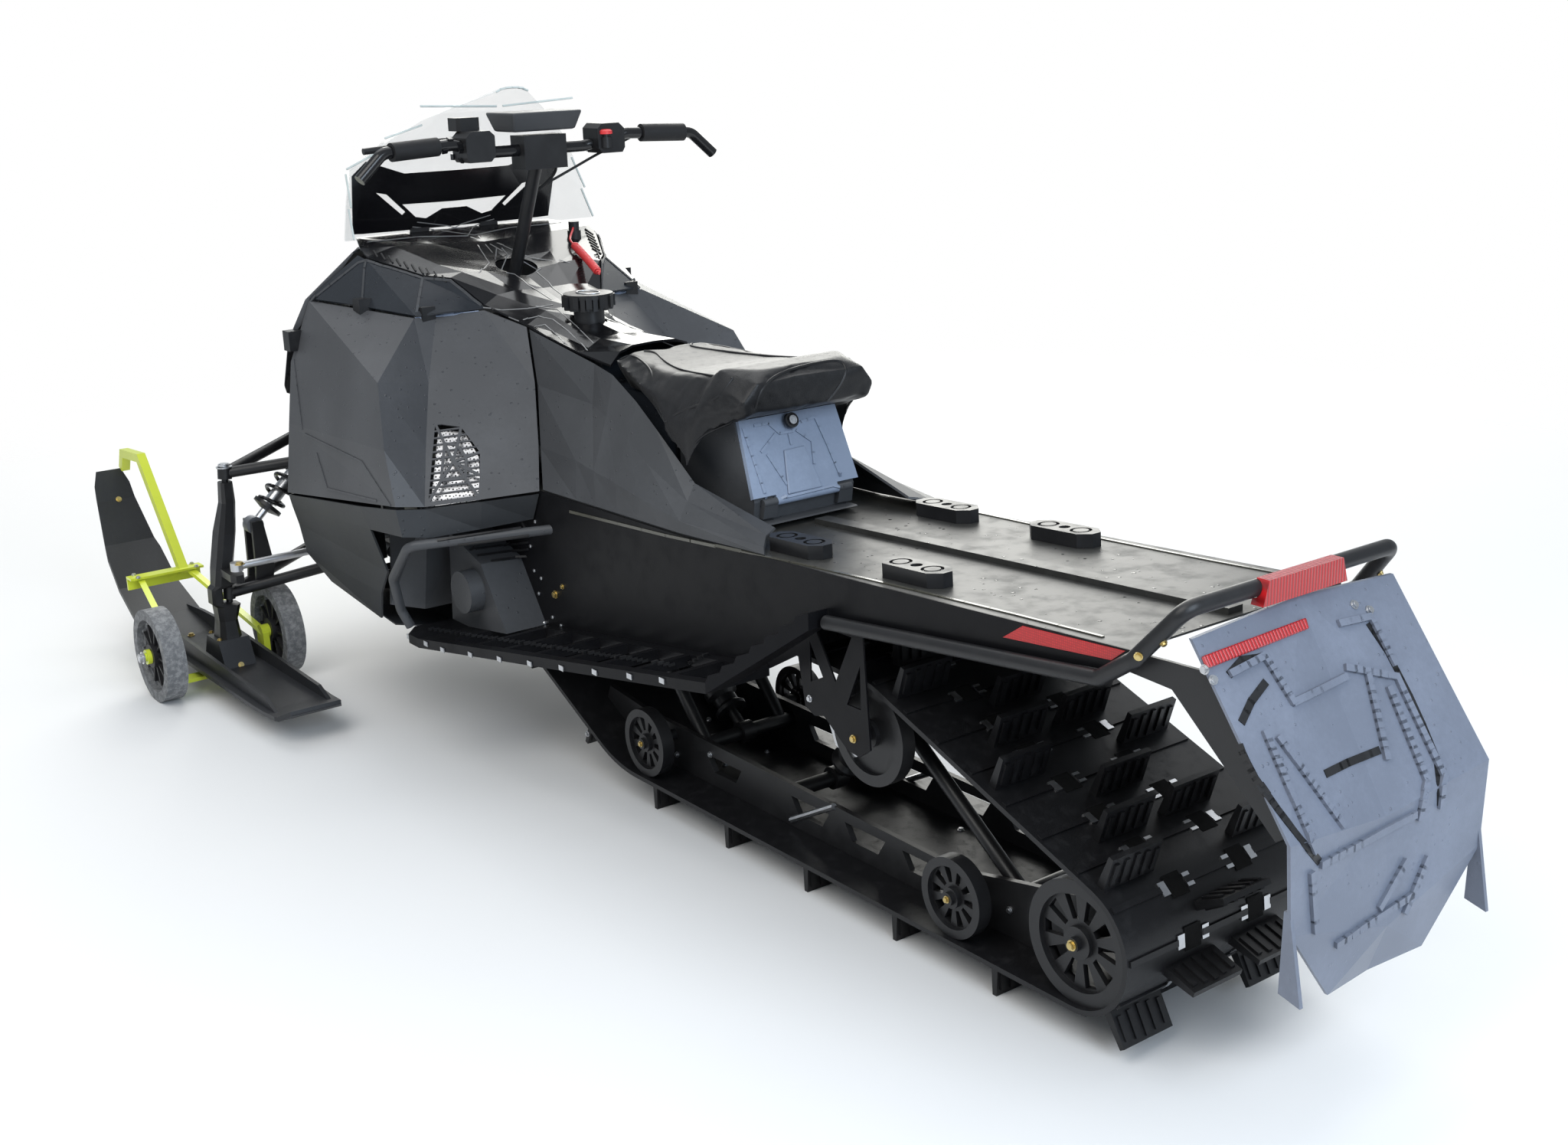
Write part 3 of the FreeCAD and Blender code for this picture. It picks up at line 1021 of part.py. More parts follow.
def make_dolly():
    half = DOLLY_BAR / 2
    axle_z = FLOOR + DOLLY_RADIUS
    spine = [(CROSS_BAR_X, CROSS_BAR_Z + 6), (2738, 416), (2852, 409), (2872, 368)]
    pieces = [side_prism(thick_line(spine, half), HOOK_Y - half, HOOK_Y + half)]
    cross_half = DOLLY_LEG_TOP + 34
    angle = block(CROSS_BAR_X - 16, CROSS_BAR_X + 16, DOLLY_Y - cross_half, DOLLY_Y + cross_half,
                  CROSS_BAR_Z - 16, CROSS_BAR_Z + 16)
    hollow = block(CROSS_BAR_X - 20, CROSS_BAR_X + 11, DOLLY_Y - cross_half - 1, DOLLY_Y + cross_half + 1,
                   CROSS_BAR_Z - 20, CROSS_BAR_Z + 11)
    pieces.append(angle.cut(hollow))
    strap_low = SKI_BASE_Z - 12 - FIT - STRAP
    for side in (1, -1):
        inner_y = DOLLY_Y + side * DOLLY_LEG
        outer_y = inner_y + side * DOLLY_LEG_WIDTH
        low, high = sorted((inner_y, outer_y))
        leg = [(CROSS_BAR_X, CROSS_BAR_Z + 8), (DOLLY_X, axle_z)]
        top_y = DOLLY_Y + side * (DOLLY_LEG_TOP + DOLLY_LEG_WIDTH / 2)
        foot_y = (low + high) / 2
        (top_x, top_z), (foot_x, foot_z) = leg
        section = face_of([(foot_x - 8, foot_y - 7, foot_z - 6), (foot_x - 8, foot_y + 7, foot_z - 6),
                           (foot_x + 8, foot_y + 7, foot_z + 6), (foot_x + 8, foot_y - 7, foot_z + 6)])
        pieces.append(section.extrude(V(top_x - foot_x, top_y - foot_y, top_z - foot_z)))
        pieces.append(block(DOLLY_X - 18, DOLLY_X + 18, low, high, strap_low, axle_z))
        hub_y = DOLLY_Y + side * DOLLY_SPREAD
        wheel_in = hub_y - side * (DOLLY_WIDTH / 2 + FIT)
        wheel_out = hub_y + side * (DOLLY_WIDTH / 2 + FIT)
        pieces.append(rod((DOLLY_X, inner_y, axle_z), (DOLLY_X, wheel_in, axle_z), DOLLY_AXLE + 6))
        pieces.append(rod((DOLLY_X, inner_y, axle_z), (DOLLY_X, wheel_out + side * 14, axle_z), DOLLY_AXLE))
        pieces.append(rod((DOLLY_X, wheel_out, axle_z), (DOLLY_X, wheel_out + side * 9, axle_z), DOLLY_AXLE + 7))
    pieces.append(block(DOLLY_X - 18, DOLLY_X + 18, DOLLY_Y - DOLLY_LEG, DOLLY_Y + DOLLY_LEG, strap_low, strap_low + STRAP))
    return fused(pieces)


spindle, ski, dolly = make_spindle(), make_ski(), make_dolly()
save("spindle_left", spindle)
save("spindle_right", mirrored(spindle))
save("ski_left", ski)
save("ski_right", mirrored(ski))
save("dolly_frame_left", dolly)
save("dolly_frame_right", mirrored(dolly))
for name, centre_y in (("outer", DOLLY_Y + DOLLY_SPREAD), ("inner", DOLLY_Y - DOLLY_SPREAD)):
    roller = wheel(DOLLY_X, FLOOR + DOLLY_RADIUS, centre_y, DOLLY_RADIUS, DOLLY_WIDTH, 0, DOLLY_AXLE + FIT)
    save("dolly_wheel_" + name + "_left", roller)
    save("dolly_wheel_" + name + "_right", mirrored(roller))

# Tie rods with their centre link; the outer eyes stop above the steering arms
EYE_LIFT = 9.0
tie_parts = [rod((LINK_X, -120, LINK_Z), (LINK_X, 120, LINK_Z), LINK_RADIUS)]
eye_low = TIE_Z + 8 + EYE_LIFT
for side in (1, -1):
    tie_parts.append(rod((LINK_X, side * 110, LINK_Z), (2124, side * 488, eye_low + 9), 8.0))
    tie_parts.append(rod((2124, side * 494, eye_low), (2124, side * 494, eye_low + 18), 13.0))
save("tie_rods", fused(tie_parts))


# Steering: post with bar clamp, bar, pad, grips and controls
post = rod(CLAMP + post_unit * 30, post_end, POST_RADIUS)
clamp = block(CLAMP.x - 26, CLAMP.x + 26, -46, 46, CLAMP.z - 36, CLAMP.z + 27)
clamp = clamp.fuse(post).cut(rod((CLAMP.x, -60, CLAMP.z), (CLAMP.x, 60, CLAMP.z), BAR_RADIUS + FIT))
save("steering_post", clamp)
bar_half = [(CLAMP.x, 100, CLAMP.z), (1588, 190, CLAMP.z + 19), (1577, 335, CLAMP.z + 13),
            (1574, BAR_HALF, CLAMP.z - 31)]
bar_path = [(x, y, z) for x, y, z in reversed(bar_half)] + [(x, -y, z) for x, y, z in bar_half]
save("handlebar", bent_rod(bar_path, BAR_RADIUS, 30.0))


def on_bar(share, a, b):
    return as_vector(a) + (as_vector(b) - as_vector(a)) * share


grip_start, grip_end = on_bar(0.22, bar_half[1], bar_half[2]), on_bar(0.88, bar_half[1], bar_half[2])
save("grips", *both_sides(sleeve(grip_start, grip_end, GRIP_RADIUS, BAR_RADIUS + FIT)))
pod = front_prism([(112, CLAMP.z - 5), (122, CLAMP.z - 15), (166, CLAMP.z - 15), (172, CLAMP.z - 6),
                   (172, CLAMP.z + 30), (160, CLAMP.z + 41), (122, CLAMP.z + 41), (112, CLAMP.z + 32)], 1566, 1622)
pod_bore = rod(on_bar(-0.6, bar_half[0], bar_half[1]), on_bar(1.6, bar_half[0], bar_half[1]), BAR_RADIUS + FIT)
reservoir = plan_prism([(1606, 124), (1612, 118), (1644, 118), (1650, 124), (1650, 160), (1644, 166), (1612, 166),
                        (1606, 160)], CLAMP.z + 41, CLAMP.z + 65)
lever = bent_rod([(1620, 150, CLAMP.z + 19), (1664, 165, CLAMP.z + 23), (1668, 330, CLAMP.z + 13)], 6.0, 14.0)
save("controls", fused([pod, reservoir, lever]).cut(pod_bore), mirrored(pod).cut(mirrored(pod_bore)))
pad_side = side_prism([(1556, CLAMP.z + 55), (1572, CLAMP.z + 27 + FIT), (1648, CLAMP.z + 27 + FIT), (1668, CLAMP.z + 59),
                       (1640, CLAMP.z + 85), (1588, CLAMP.z + 79)], -80, 80)
pad_plan = plan_prism([(1550, -46), (1580, -76), (1640, -70), (1672, -36), (1672, 36), (1640, 70),
                       (1580, 76), (1550, 46)], 1100, 1300)
save("bar_pad", pad_side.common(pad_plan))

# Seat cushion: rows of x, half width of the flat base, then base, lower edge (y, z), upper edge (y, z) and
# top (y, z), all heights above the seat rest
SEAT_ROWS = (
    (768, 112, 18, 128, 15, 142, 45, 112, 79),
    (860, 112, FIT, 150, -32, 162, 20, 128, 79),
    (900, 112, FIT, 156, -92, 166, 0, 126, 63),
    (1013, 112, FIT, 148, -26, 162, 24, 124, 53),
    (1085, 108, FIT, 138, 8, 150, 36, 112, 53),
    (1180, 96, 10, 114, 38, 122, 54, 92, 59),
    (1226, 78, 24, 94, 44, 102, 62, 74, 67),
)
seat_sections = []
for x, base, zb, wl, zl, wu, zu, wt, zt in SEAT_ROWS:
    half_ring = [(base, zb), (wl, zl), (wu, zu), (wt, zt)]
    ring = [V(x, y, SEAT_REST + z) for y, z in half_ring]
    ring += [V(x, -y, SEAT_REST + z) for y, z in reversed(half_ring)]
    seat_sections.append(Part.makePolygon(ring + [ring[0]]))
save("seat_cushion", Part.makeLoft(seat_sections, True, True))

# Storage box behind the seat, its base plate and hinge knuckles, and the door
door_run = unit(V(DOOR_TOP_X - DOOR_HINGE_X, 0, DOOR_TOP_Z - DOOR_HINGE_Z))
door_out = V(-door_run.z, 0, door_run.x)
hinge = V(DOOR_HINGE_X, 0, DOOR_HINGE_Z)
door_length = V(DOOR_TOP_X - DOOR_HINGE_X, 0, DOOR_TOP_Z - DOOR_HINGE_Z).Length


def door_point(along, out):
    spot = hinge + door_run * along + door_out * out
    return spot.x, spot.z


BOX_WALL, BOX_FRONT_X = 4.0, 1010.0
box_low = deck_z(DOOR_HINGE_X) + 12
rim_out = -DOOR_THICKNESS / 2 - FIT
box_outline = [door_point(4, rim_out), door_point(door_length, rim_out), (858, SEAT_REST), (BOX_FRONT_X, SEAT_REST),
               (BOX_FRONT_X, box_low), (806, box_low)]
box = side_prism(box_outline, -DOOR_HALF_LOW + 8, DOOR_HALF_LOW - 8)
cavity = side_prism([door_point(16, rim_out + 2), door_point(door_length - 6, rim_out + 2), (858, SEAT_REST - BOX_WALL),
                     (BOX_FRONT_X - BOX_WALL, SEAT_REST - BOX_WALL), (BOX_FRONT_X - BOX_WALL, box_low + BOX_WALL),
                     (806, box_low + BOX_WALL)], -DOOR_HALF_LOW + 8 + BOX_WALL, DOOR_HALF_LOW - 8 - BOX_WALL)
base_plate = side_prism([(776, deck_z(776) + RIB_HEIGHT + FIT), (BOX_FRONT_X, deck_z(776) + RIB_HEIGHT + FIT),
                         (BOX_FRONT_X, box_low), (780, box_low)], -92, 92)
knuckle_gap = HINGE_RADIUS + 2
mount_block = side_prism([door_point(-4, -knuckle_gap), (800, box_low), (812, box_low), (816, DOOR_HINGE_Z + 4)], -92, 92)
knuckles = [rod((hinge.x, side * 64.3, hinge.z), (hinge.x, side * 92, hinge.z), HINGE_RADIUS) for side in (1, -1)]
webs = [side_prism([(hinge.x - 6, hinge.z - 4), (hinge.x + 16, hinge.z - 8), (hinge.x + 14, hinge.z - 26),
                    (hinge.x, hinge.z - 26)], *sorted((side * 64.3, side * 92))) for side in (1, -1)]
hinge_pin = rod((hinge.x, -66, hinge.z), (hinge.x, 66, hinge.z), 3.0)
door_zone = rod((hinge.x, -64, hinge.z), (hinge.x, 64, hinge.z), knuckle_gap)
storage = fused([box.cut(cavity), base_plate]).cut(door_zone)
storage = fused([storage, hinge_pin] + knuckles + webs)
save("storage_box", storage)
door_slab = side_prism([door_point(10, -DOOR_THICKNESS / 2), door_point(door_length, -DOOR_THICKNESS / 2),
                        door_point(door_length, DOOR_THICKNESS / 2), door_point(10, DOOR_THICKNESS / 2)], -200, 200)
door_shape = front_prism([(-DOOR_HALF_LOW, DOOR_HINGE_Z - 20), (DOOR_HALF_LOW, DOOR_HINGE_Z - 20),
                          (DOOR_HALF_TOP, DOOR_TOP_Z + 8), (-DOOR_HALF_TOP, DOOR_TOP_Z + 8)], 700, 950)
barrel = sleeve((hinge.x, -64, hinge.z), (hinge.x, 64, hinge.z), HINGE_RADIUS, 3.0 + FIT)
neck_plate = side_prism([door_point(HINGE_RADIUS - 2, -DOOR_THICKNESS / 2), door_point(12, -DOOR_THICKNESS / 2),
                         door_point(12, DOOR_THICKNESS / 2), door_point(HINGE_RADIUS - 2, DOOR_THICKNESS / 2)], -64, 64)
latch_spot = hinge + door_run * (door_length - 18)
latch = rod(latch_spot, latch_spot + door_out * 12, 11.0)
save("storage_door", fused([door_slab.common(door_shape), barrel, neck_plate, latch]))

# Stop switch on the console's right side, and the safety tether: a short lead and a fat curl that hangs back
SWITCH_X, SWITCH_Y, SWITCH_LOW, SWITCH_TOP = 1806.0, -188.0, 920.0, 962.0
switch_base = rod((SWITCH_X, SWITCH_Y, SWITCH_LOW), (SWITCH_X, SWITCH_Y, SWITCH_TOP - 18), 14.0)
switch_cap = rod((SWITCH_X, SWITCH_Y, SWITCH_TOP - 18), (SWITCH_X, SWITCH_Y, SWITCH_TOP), 11.0)
stop_switch = seated(fused([switch_base, switch_cap]), console)
save("stop_switch", stop_switch)
CURL_WIDTH, LEAD_WIDTH = 18.0, 5.0
CURL_ROUTE = ((1742.0, -145.0, 925.0), (1690.0, -131.0, 913.0), (1632.0, -119.0, 896.0), (1577.0, -103.0, 881.0))
LEAD_ROUTE = ((1742.0, -145.0, 925.0), (1768.0, -152.0, 931.0), (1785.0, -171.0, 944.0), (1801.0, -184.0, 951.0))


def cord(points, width):
    """A tube along straight runs joined by tangent arcs, each of its own radius."""
    spots = [as_vector(point) for point in points]
    edges, last = [], spots[0]
    for before, corner, after in zip(spots, spots[1:], spots[2:]):
        back, ahead = before - corner, after - corner
        reach = 0.45 * min(back.Length, ahead.Length)
        back, ahead = unit(back), unit(ahead)
        turn = math.pi - back.getAngle(ahead)
        bend = reach / math.tan(turn / 2)
        middle = corner + unit(back + ahead) * (bend / math.cos(turn / 2) - bend)
        edges.append(Part.LineSegment(last, corner + back * reach).toShape())
        edges.append(Part.Arc(corner + back * reach, middle, corner + ahead * reach).toShape())
        last = corner + ahead * reach
        print("cord", width, "turn", round(math.degrees(turn)), "radius", round(bend))
    edges.append(Part.LineSegment(last, spots[-1]).toShape())
    section = Part.Wire([Part.Circle(spots[0], spots[1] - spots[0], width / 2).toShape()])
    return Part.Wire(edges).makePipeShell([section], True, False)


save("tether_curl", cord(CURL_ROUTE, CURL_WIDTH))
save("tether_lead", seated(cord(LEAD_ROUTE, LEAD_WIDTH), stop_switch))

# Footwell: toe wall, wedge, round cover and foot hoop on each side
TOE_ROWS = (
    ((1556, TUNNEL_OUTER + FIT, 500), (1552, 320, 492), (1556, 398, 452)),
    ((1600, TUNNEL_OUTER + FIT, 275), (1603, 320, 275), (1630, 378, 290)),
)
board_top = board_z(BOARD_FRONT_X)
toe_wall = facet_panel(TOE_ROWS, (SKIN, 0, 0))
wedge = side_prism([(1330, board_z(1330) + FIT), (BOARD_FRONT_X, board_top + FIT), (1545, board_top + FIT),
                    (1530, 440), (1410, 400)], TUNNEL_OUTER + FIT, 292)
cover = rod((1440, 292, 345), (1440, 322, 345), 40.0)
hoop = bent_rod([(1282, TUNNEL_OUTER - 16, 475.3), (1430, 424, 456), (1530, 414, 372),
                 (1556, 392, 300), (1550, 378, board_top + 3.2)], 9.0, 24.0)
hoop = hoop.cut(block(1200, 1400, 100, TUNNEL_OUTER + FIT, 400, 550))
save("footwells", *both_sides(fused([toe_wall])), *both_sides(fused([wedge, cover])), *both_sides(hoop))

# Cargo bases on the tunnel top, each with a socket for a plug-in fastener
CARGO_SPOTS = ((618.0, 151.0), (351.0, 149.0))
CARGO_LENGTH, CARGO_WIDTH, CARGO_HEIGHT = 132.0, 48.0, 22.0
SOCKET_RADIUS, SOCKET_DEPTH = 9.0, 18.0
deck_slope = math.degrees(math.atan2(DECK_REAR_Z - DECK_KNEE_Z, DECK_KNEE_X - TUNNEL_REAR_X))
cargo = []
for x, y in CARGO_SPOTS:
    half_l, half_w = CARGO_LENGTH / 2, CARGO_WIDTH / 2
    outline = [(half_l, half_w - 15), (half_l - 18, half_w), (-half_l + 18, half_w), (-half_l, half_w - 15),
               (-half_l, -half_w + 15), (-half_l + 18, -half_w), (half_l - 18, -half_w), (half_l, -half_w + 15)]
    base = plan_prism(outline, FIT, CARGO_HEIGHT)
    base = base.cut(rod((0, 0, CARGO_HEIGHT - SOCKET_DEPTH), (0, 0, CARGO_HEIGHT + 1), SOCKET_RADIUS))
    for ring_x in (-34.0, 34.0):
        groove = sleeve((ring_x, 0, CARGO_HEIGHT - 3), (ring_x, 0, CARGO_HEIGHT + 1), 17.0, 12.0)
        base = base.cut(groove)
    base.rotate(V(0, 0, 0), V(0, 1, 0), deck_slope)
    base.translate(V(x, y, deck_z(x)))
    cargo += both_sides(base)
save("cargo_bases", *cargo)
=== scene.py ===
# %% [markdown]
# # A snowmobile on its ski dollies
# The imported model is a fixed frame: every rigid piece is there at its real size.
# This lesson dresses it with finishes, upholstery and small parts,
# and sets the camera, floor and lamps as in a plain photo studio.
# Sizes are in millimetres, and a place is given as a station ahead of the rear axle,
# a distance to the machine's left and a height, because the machine was measured that way.

# %% Load the frame
import math
import bpy
from mathutils import Matrix, Vector
from mathutils.bvhtree import BVHTree


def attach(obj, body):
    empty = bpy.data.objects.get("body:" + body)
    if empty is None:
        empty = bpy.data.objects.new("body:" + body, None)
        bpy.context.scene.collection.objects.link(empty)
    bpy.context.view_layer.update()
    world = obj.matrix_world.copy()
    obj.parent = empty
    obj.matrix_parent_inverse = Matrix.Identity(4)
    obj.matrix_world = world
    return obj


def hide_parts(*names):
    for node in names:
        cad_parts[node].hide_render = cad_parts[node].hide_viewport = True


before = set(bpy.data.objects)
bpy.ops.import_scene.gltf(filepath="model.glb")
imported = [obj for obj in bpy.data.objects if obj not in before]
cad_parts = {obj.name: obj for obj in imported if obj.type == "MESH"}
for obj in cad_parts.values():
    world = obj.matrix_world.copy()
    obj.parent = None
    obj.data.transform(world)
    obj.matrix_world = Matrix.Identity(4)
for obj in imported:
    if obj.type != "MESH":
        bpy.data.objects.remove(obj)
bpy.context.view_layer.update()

# %% [markdown]
# Two small functions turn workshop measures into Blender's metres and mirror a place to the other half.
# Everything after them can then be written in the sizes that a tape measure gives.

# %% Places and sizes in metres
MID_STATION = 1271.0
MM = 0.001
AHEAD, LEFT, UP = Vector((1, 0, 0)), Vector((0, 1, 0)), Vector((0, 0, 1))
SIDES = (("left", 1), ("right", -1))


def place(station, left, height):
    return Vector((station - MID_STATION, left, height)) * MM


def mirror(point):
    return Vector((point.x, -point.y, point.z))


print("the handlebar's clamp is at", tuple(round(v, 3) for v in place(1601, 0, 1127)))

# %% [markdown]
# The camera stands behind the machine's left rear corner, a little above its bars.
# Its heading, tilt and roll are kept as angles, and its lens as a focal length on a 36 mm sensor.
# A wide lens this near the machine is what makes the snow flap look so large.

# %% Camera
CAMERA_PLACE = place(-1542, 1804, 1330)
CAMERA_HEADING, CAMERA_TILT, CAMERA_ROLL = -0.643, 0.287, -0.033
FOCAL_PIXELS, FRAME_PIXELS, SENSOR = 2400.0, 2048.0, 36.0
NEAREST_SEEN, FARTHEST_SEEN = 0.05, 100.0


def camera_turn(heading, tilt, roll):
    ahead = Vector((math.cos(heading) * math.cos(tilt), math.sin(heading) * math.cos(tilt), -math.sin(tilt)))
    right = Vector((math.sin(heading), -math.cos(heading), 0.0))
    up = right.cross(ahead)
    rolled_right = math.cos(roll) * right + math.sin(roll) * up
    rolled_up = -math.sin(roll) * right + math.cos(roll) * up
    return Matrix((rolled_right, rolled_up, -ahead)).transposed()


camera_data = bpy.data.cameras.new("photo_camera")
camera_data.lens = FOCAL_PIXELS / FRAME_PIXELS * SENSOR
camera_data.sensor_width = SENSOR
camera_data.sensor_fit = "HORIZONTAL"
camera_data.clip_start, camera_data.clip_end = NEAREST_SEEN, FARTHEST_SEEN
camera = bpy.data.objects.new("photo_camera", camera_data)
camera.matrix_world = Matrix.LocRotScale(CAMERA_PLACE, camera_turn(CAMERA_HEADING, CAMERA_TILT, CAMERA_ROLL), None)
bpy.context.collection.objects.link(camera)
bpy.context.scene.camera = camera
print("camera lens", round(camera_data.lens, 2), "mm")

# %% [markdown]
# ## The tether
# A rider clips a red curled cord to their coat, and pulling it off stops the engine.
# The cord is one fixed length of rubber, so it is one curve from the cap to the clip.
# Its straight lead and the middle of its curls follow a few given points,
# and the curls are a helix worked out around that middle line.

# %% Smooth lines through points
def nurbs_through(points, name):
    curve = bpy.data.curves.new(name, "CURVE")
    curve.dimensions = "3D"
    curve.resolution_u = 16
    spline = curve.splines.new("NURBS")
    spline.points.add(len(points) - 1)
    for handle, point in zip(spline.points, points):
        handle.co = (*point, 1.0)
    spline.order_u = 3
    spline.use_endpoint_u = True
    line = bpy.data.objects.new(name, curve)
    bpy.context.collection.objects.link(line)
    return line


def read_line(points, name):
    """The corners of a smooth line, and its length."""
    line = nurbs_through(points, name)
    mesh = bpy.data.meshes.new_from_object(line)
    corners = [vertex.co.copy() for vertex in mesh.vertices]
    length = sum((corners[edge.vertices[0]] - corners[edge.vertices[1]]).length for edge in mesh.edges)
    bpy.data.objects.remove(line)
    return corners, length


def walk(points, share):
    """The point at a share of a line's length, and the line's direction there."""
    lengths = [(b - a).length for a, b in zip(points, points[1:])]
    left = share * sum(lengths)
    for a, b, length in zip(points, points[1:], lengths):
        if left <= length or b is points[-1]:
            return a.lerp(b, left / length), (b - a).normalized()
        left -= length


print("smooth lines ready")

# %% [markdown]
# The curls could be a Screw modifier on a circle, but that only winds round a straight axis.
# Here each point of the helix is worked out from the bent middle line, and its reach grows from
# nearly nothing at both ends, as a moulded curl runs out into its straight lead.

# %% The curls
LEAD_ROUTE = (place(1801, -184, 951), place(1785, -171, 944), place(1768, -152, 931), place(1742, -145, 925))
CURL_ROUTE = (place(1742, -145, 925), place(1690, -131, 913), place(1632, -119, 896), place(1577, -103, 881))
CORD_RADIUS, CURL_RADIUS, CURL_COUNT, CURL_STEPS = 2.3 * MM, 6.4 * MM, 26, 12
STRAIGHT_SHARE, CURLED_SHARE, CURL_GROWTH, FIRST_REACH = 0.02, 0.96, 12, 0.1
middle_line, _ = read_line(CURL_ROUTE, "curl_middle")
curl_points = []
for step in range(CURL_COUNT * CURL_STEPS + 1):
    share = step / (CURL_COUNT * CURL_STEPS)
    middle, ahead = walk(middle_line, STRAIGHT_SHARE + CURLED_SHARE * share)
    side = ahead.cross(UP).normalized()
    angle = 2 * math.pi * step / CURL_STEPS
    reach = CURL_RADIUS * min(1.0, CURL_GROWTH * share + FIRST_REACH, CURL_GROWTH * (1 - share) + FIRST_REACH)
    curl_points.append(middle + reach * (math.cos(angle) * side + math.sin(angle) * side.cross(ahead)))
tether_route = [*LEAD_ROUTE, *curl_points, CURL_ROUTE[-1]]
tether = nurbs_through(tether_route, "tether_cord")
tether.data.bevel_depth = CORD_RADIUS
tether.data.bevel_resolution = 2
tether.data.use_fill_caps = True
tether.data.resolution_u = 2
_, TETHER_LENGTH = read_line(tether_route, "tether_length")
print("the tether is", round(TETHER_LENGTH, 3), "m long with", CURL_COUNT, "curls")

# %% [markdown]
# ## Light and backdrop
# Dark plastic shows its shape only by what it mirrors, so the lamps are large and soft.
# One hangs over the left rear, and a cool one faces the tail and the door. A wide one stands ahead of
# the machine, where the deck and the seat's top mirror it towards the camera, and a soft sun evens the floor.
# The backdrop is white only for rays that come straight from the camera or through clear sheet,
# so it adds no light of its own.

# %% Floor
FLOOR_SIZE = 60.0
bpy.context.scene.view_settings.view_transform = "Standard"


def deselect():
    if bpy.context.object and bpy.context.object.mode != "OBJECT":
        bpy.ops.object.mode_set(mode="OBJECT")
    bpy.ops.object.select_all(action="DESELECT")


deselect()
bpy.ops.mesh.primitive_plane_add(size=FLOOR_SIZE, location=(0.0, 0.0, 0.0))
floor = bpy.context.active_object
floor.name = "studio_floor"
print("floor laid,", FLOOR_SIZE, "m wide")

# %% [markdown]
# A world can show one thing to the camera and light the scene with another. Two Background nodes
# and a Mix Shader do it, and the Light Path node says which ray is asking.

# %% World
SKY_COLOUR, SKY_STRENGTH, PAPER_WHITE = (0.86, 0.93, 1.0, 1.0), 0.46, (1.0, 1.0, 1.0, 1.0)
world = bpy.data.worlds.new("studio")
world.use_nodes = True
sky = world.node_tree
soft_light = sky.nodes["Background"]
soft_light.inputs["Color"].default_value = SKY_COLOUR
soft_light.inputs["Strength"].default_value = SKY_STRENGTH
white_paper = sky.nodes.new("ShaderNodeBackground")
white_paper.inputs["Color"].default_value = PAPER_WHITE
ray = sky.nodes.new("ShaderNodeLightPath")
seen = sky.nodes.new("ShaderNodeMath")
seen.operation = "MAXIMUM"
sky.links.new(ray.outputs["Is Camera Ray"], seen.inputs[0])
sky.links.new(ray.outputs["Is Transmission Ray"], seen.inputs[1])
choice = sky.nodes.new("ShaderNodeMixShader")
sky.links.new(seen.outputs[0], choice.inputs[0])
sky.links.new(soft_light.outputs[0], choice.inputs[1])
sky.links.new(white_paper.outputs[0], choice.inputs[2])
sky.links.new(choice.outputs[0], sky.nodes["World Output"].inputs["Surface"])
bpy.context.scene.world = world
print("world made, strength", SKY_STRENGTH)

# %% [markdown]
# Each lamp is an area lamp that looks at a place on the machine. A lamp's own -Z axis is its beam,
# so its Z axis is turned away from what it lights. No lamp shows to the camera itself.

# %% Lamps
SUN_ENERGY, SUN_SPREAD, SUN_SIDE = 1.1, 60, Vector((0.45, -0.35, 1.0))


def soft_lamp(name, station, left, height, towards, size, energy, colour):
    data = bpy.data.lights.new(name, "AREA")
    data.size, data.energy, data.color = size, energy, colour
    lamp = bpy.data.objects.new(name, data)
    lamp.visible_camera = False
    spot = place(station, left, height)
    lamp.matrix_world = Matrix.LocRotScale(spot, (spot - place(*towards)).to_track_quat("Z", "Y"), None)
    bpy.context.collection.objects.link(lamp)


soft_lamp("over_left_rear", 200, 2600, 3600, (1200, 0, 500), 3.0, 95.0, (1.0, 0.98, 0.94))
soft_lamp("at_the_tail", -3000, 300, 2300, (400, 0, 500), 2.6, 120.0, (0.74, 0.86, 1.0))
soft_lamp("ahead_right", 5600, -3600, 2600, (600, 0, 500), 4.5, 250.0, (1.0, 0.99, 0.93))
sun_data = bpy.data.lights.new("soft_sun", "SUN")
sun_data.energy, sun_data.angle = SUN_ENERGY, math.radians(SUN_SPREAD)
sun = bpy.data.objects.new("soft_sun", sun_data)
sun.matrix_world = Matrix.LocRotScale(Vector((0, 0, 4)), SUN_SIDE.to_track_quat("Z", "Y"), None)
bpy.context.collection.objects.link(sun)

# %% [markdown]
# ## Shader maths as plain maths
# A finish is a tree of nodes. Wrapping each output in a small class lets a mask be written
# as an expression, such as 1 - dirt * edge, and each operator adds its own Math node.
# Any other node comes from one method, which takes its type, its settings and its inputs.

# %% A wire
class Wire:
    """One output of a node. Maths written on it adds Math nodes."""

    def __init__(self, finish, socket):
        self.finish, self.socket = finish, socket

    def maths(self, operation, first, second):
        return self.finish.node("ShaderNodeMath", {"operation": operation}, {0: first, 1: second})

    def __add__(self, other):
        return self.maths("ADD", self, other)

    def __sub__(self, other):
        return self.maths("SUBTRACT", self, other)

    def __rsub__(self, other):
        return self.maths("SUBTRACT", other, self)

    def __mul__(self, other):
        return self.maths("MULTIPLY", self, other)

    def __lt__(self, other):
        return self.maths("LESS_THAN", self, other)

    __radd__, __rmul__ = __add__, __mul__


print("wires can be added, subtracted, multiplied and compared")

# %% [markdown]
# A finish is one material. Its steady values go on the shader's own sockets by name,
# and what changes over the surface is fed to it at the end as wires.
# Sizes in its patterns are in millimetres of the real surface, read from Object coordinates.

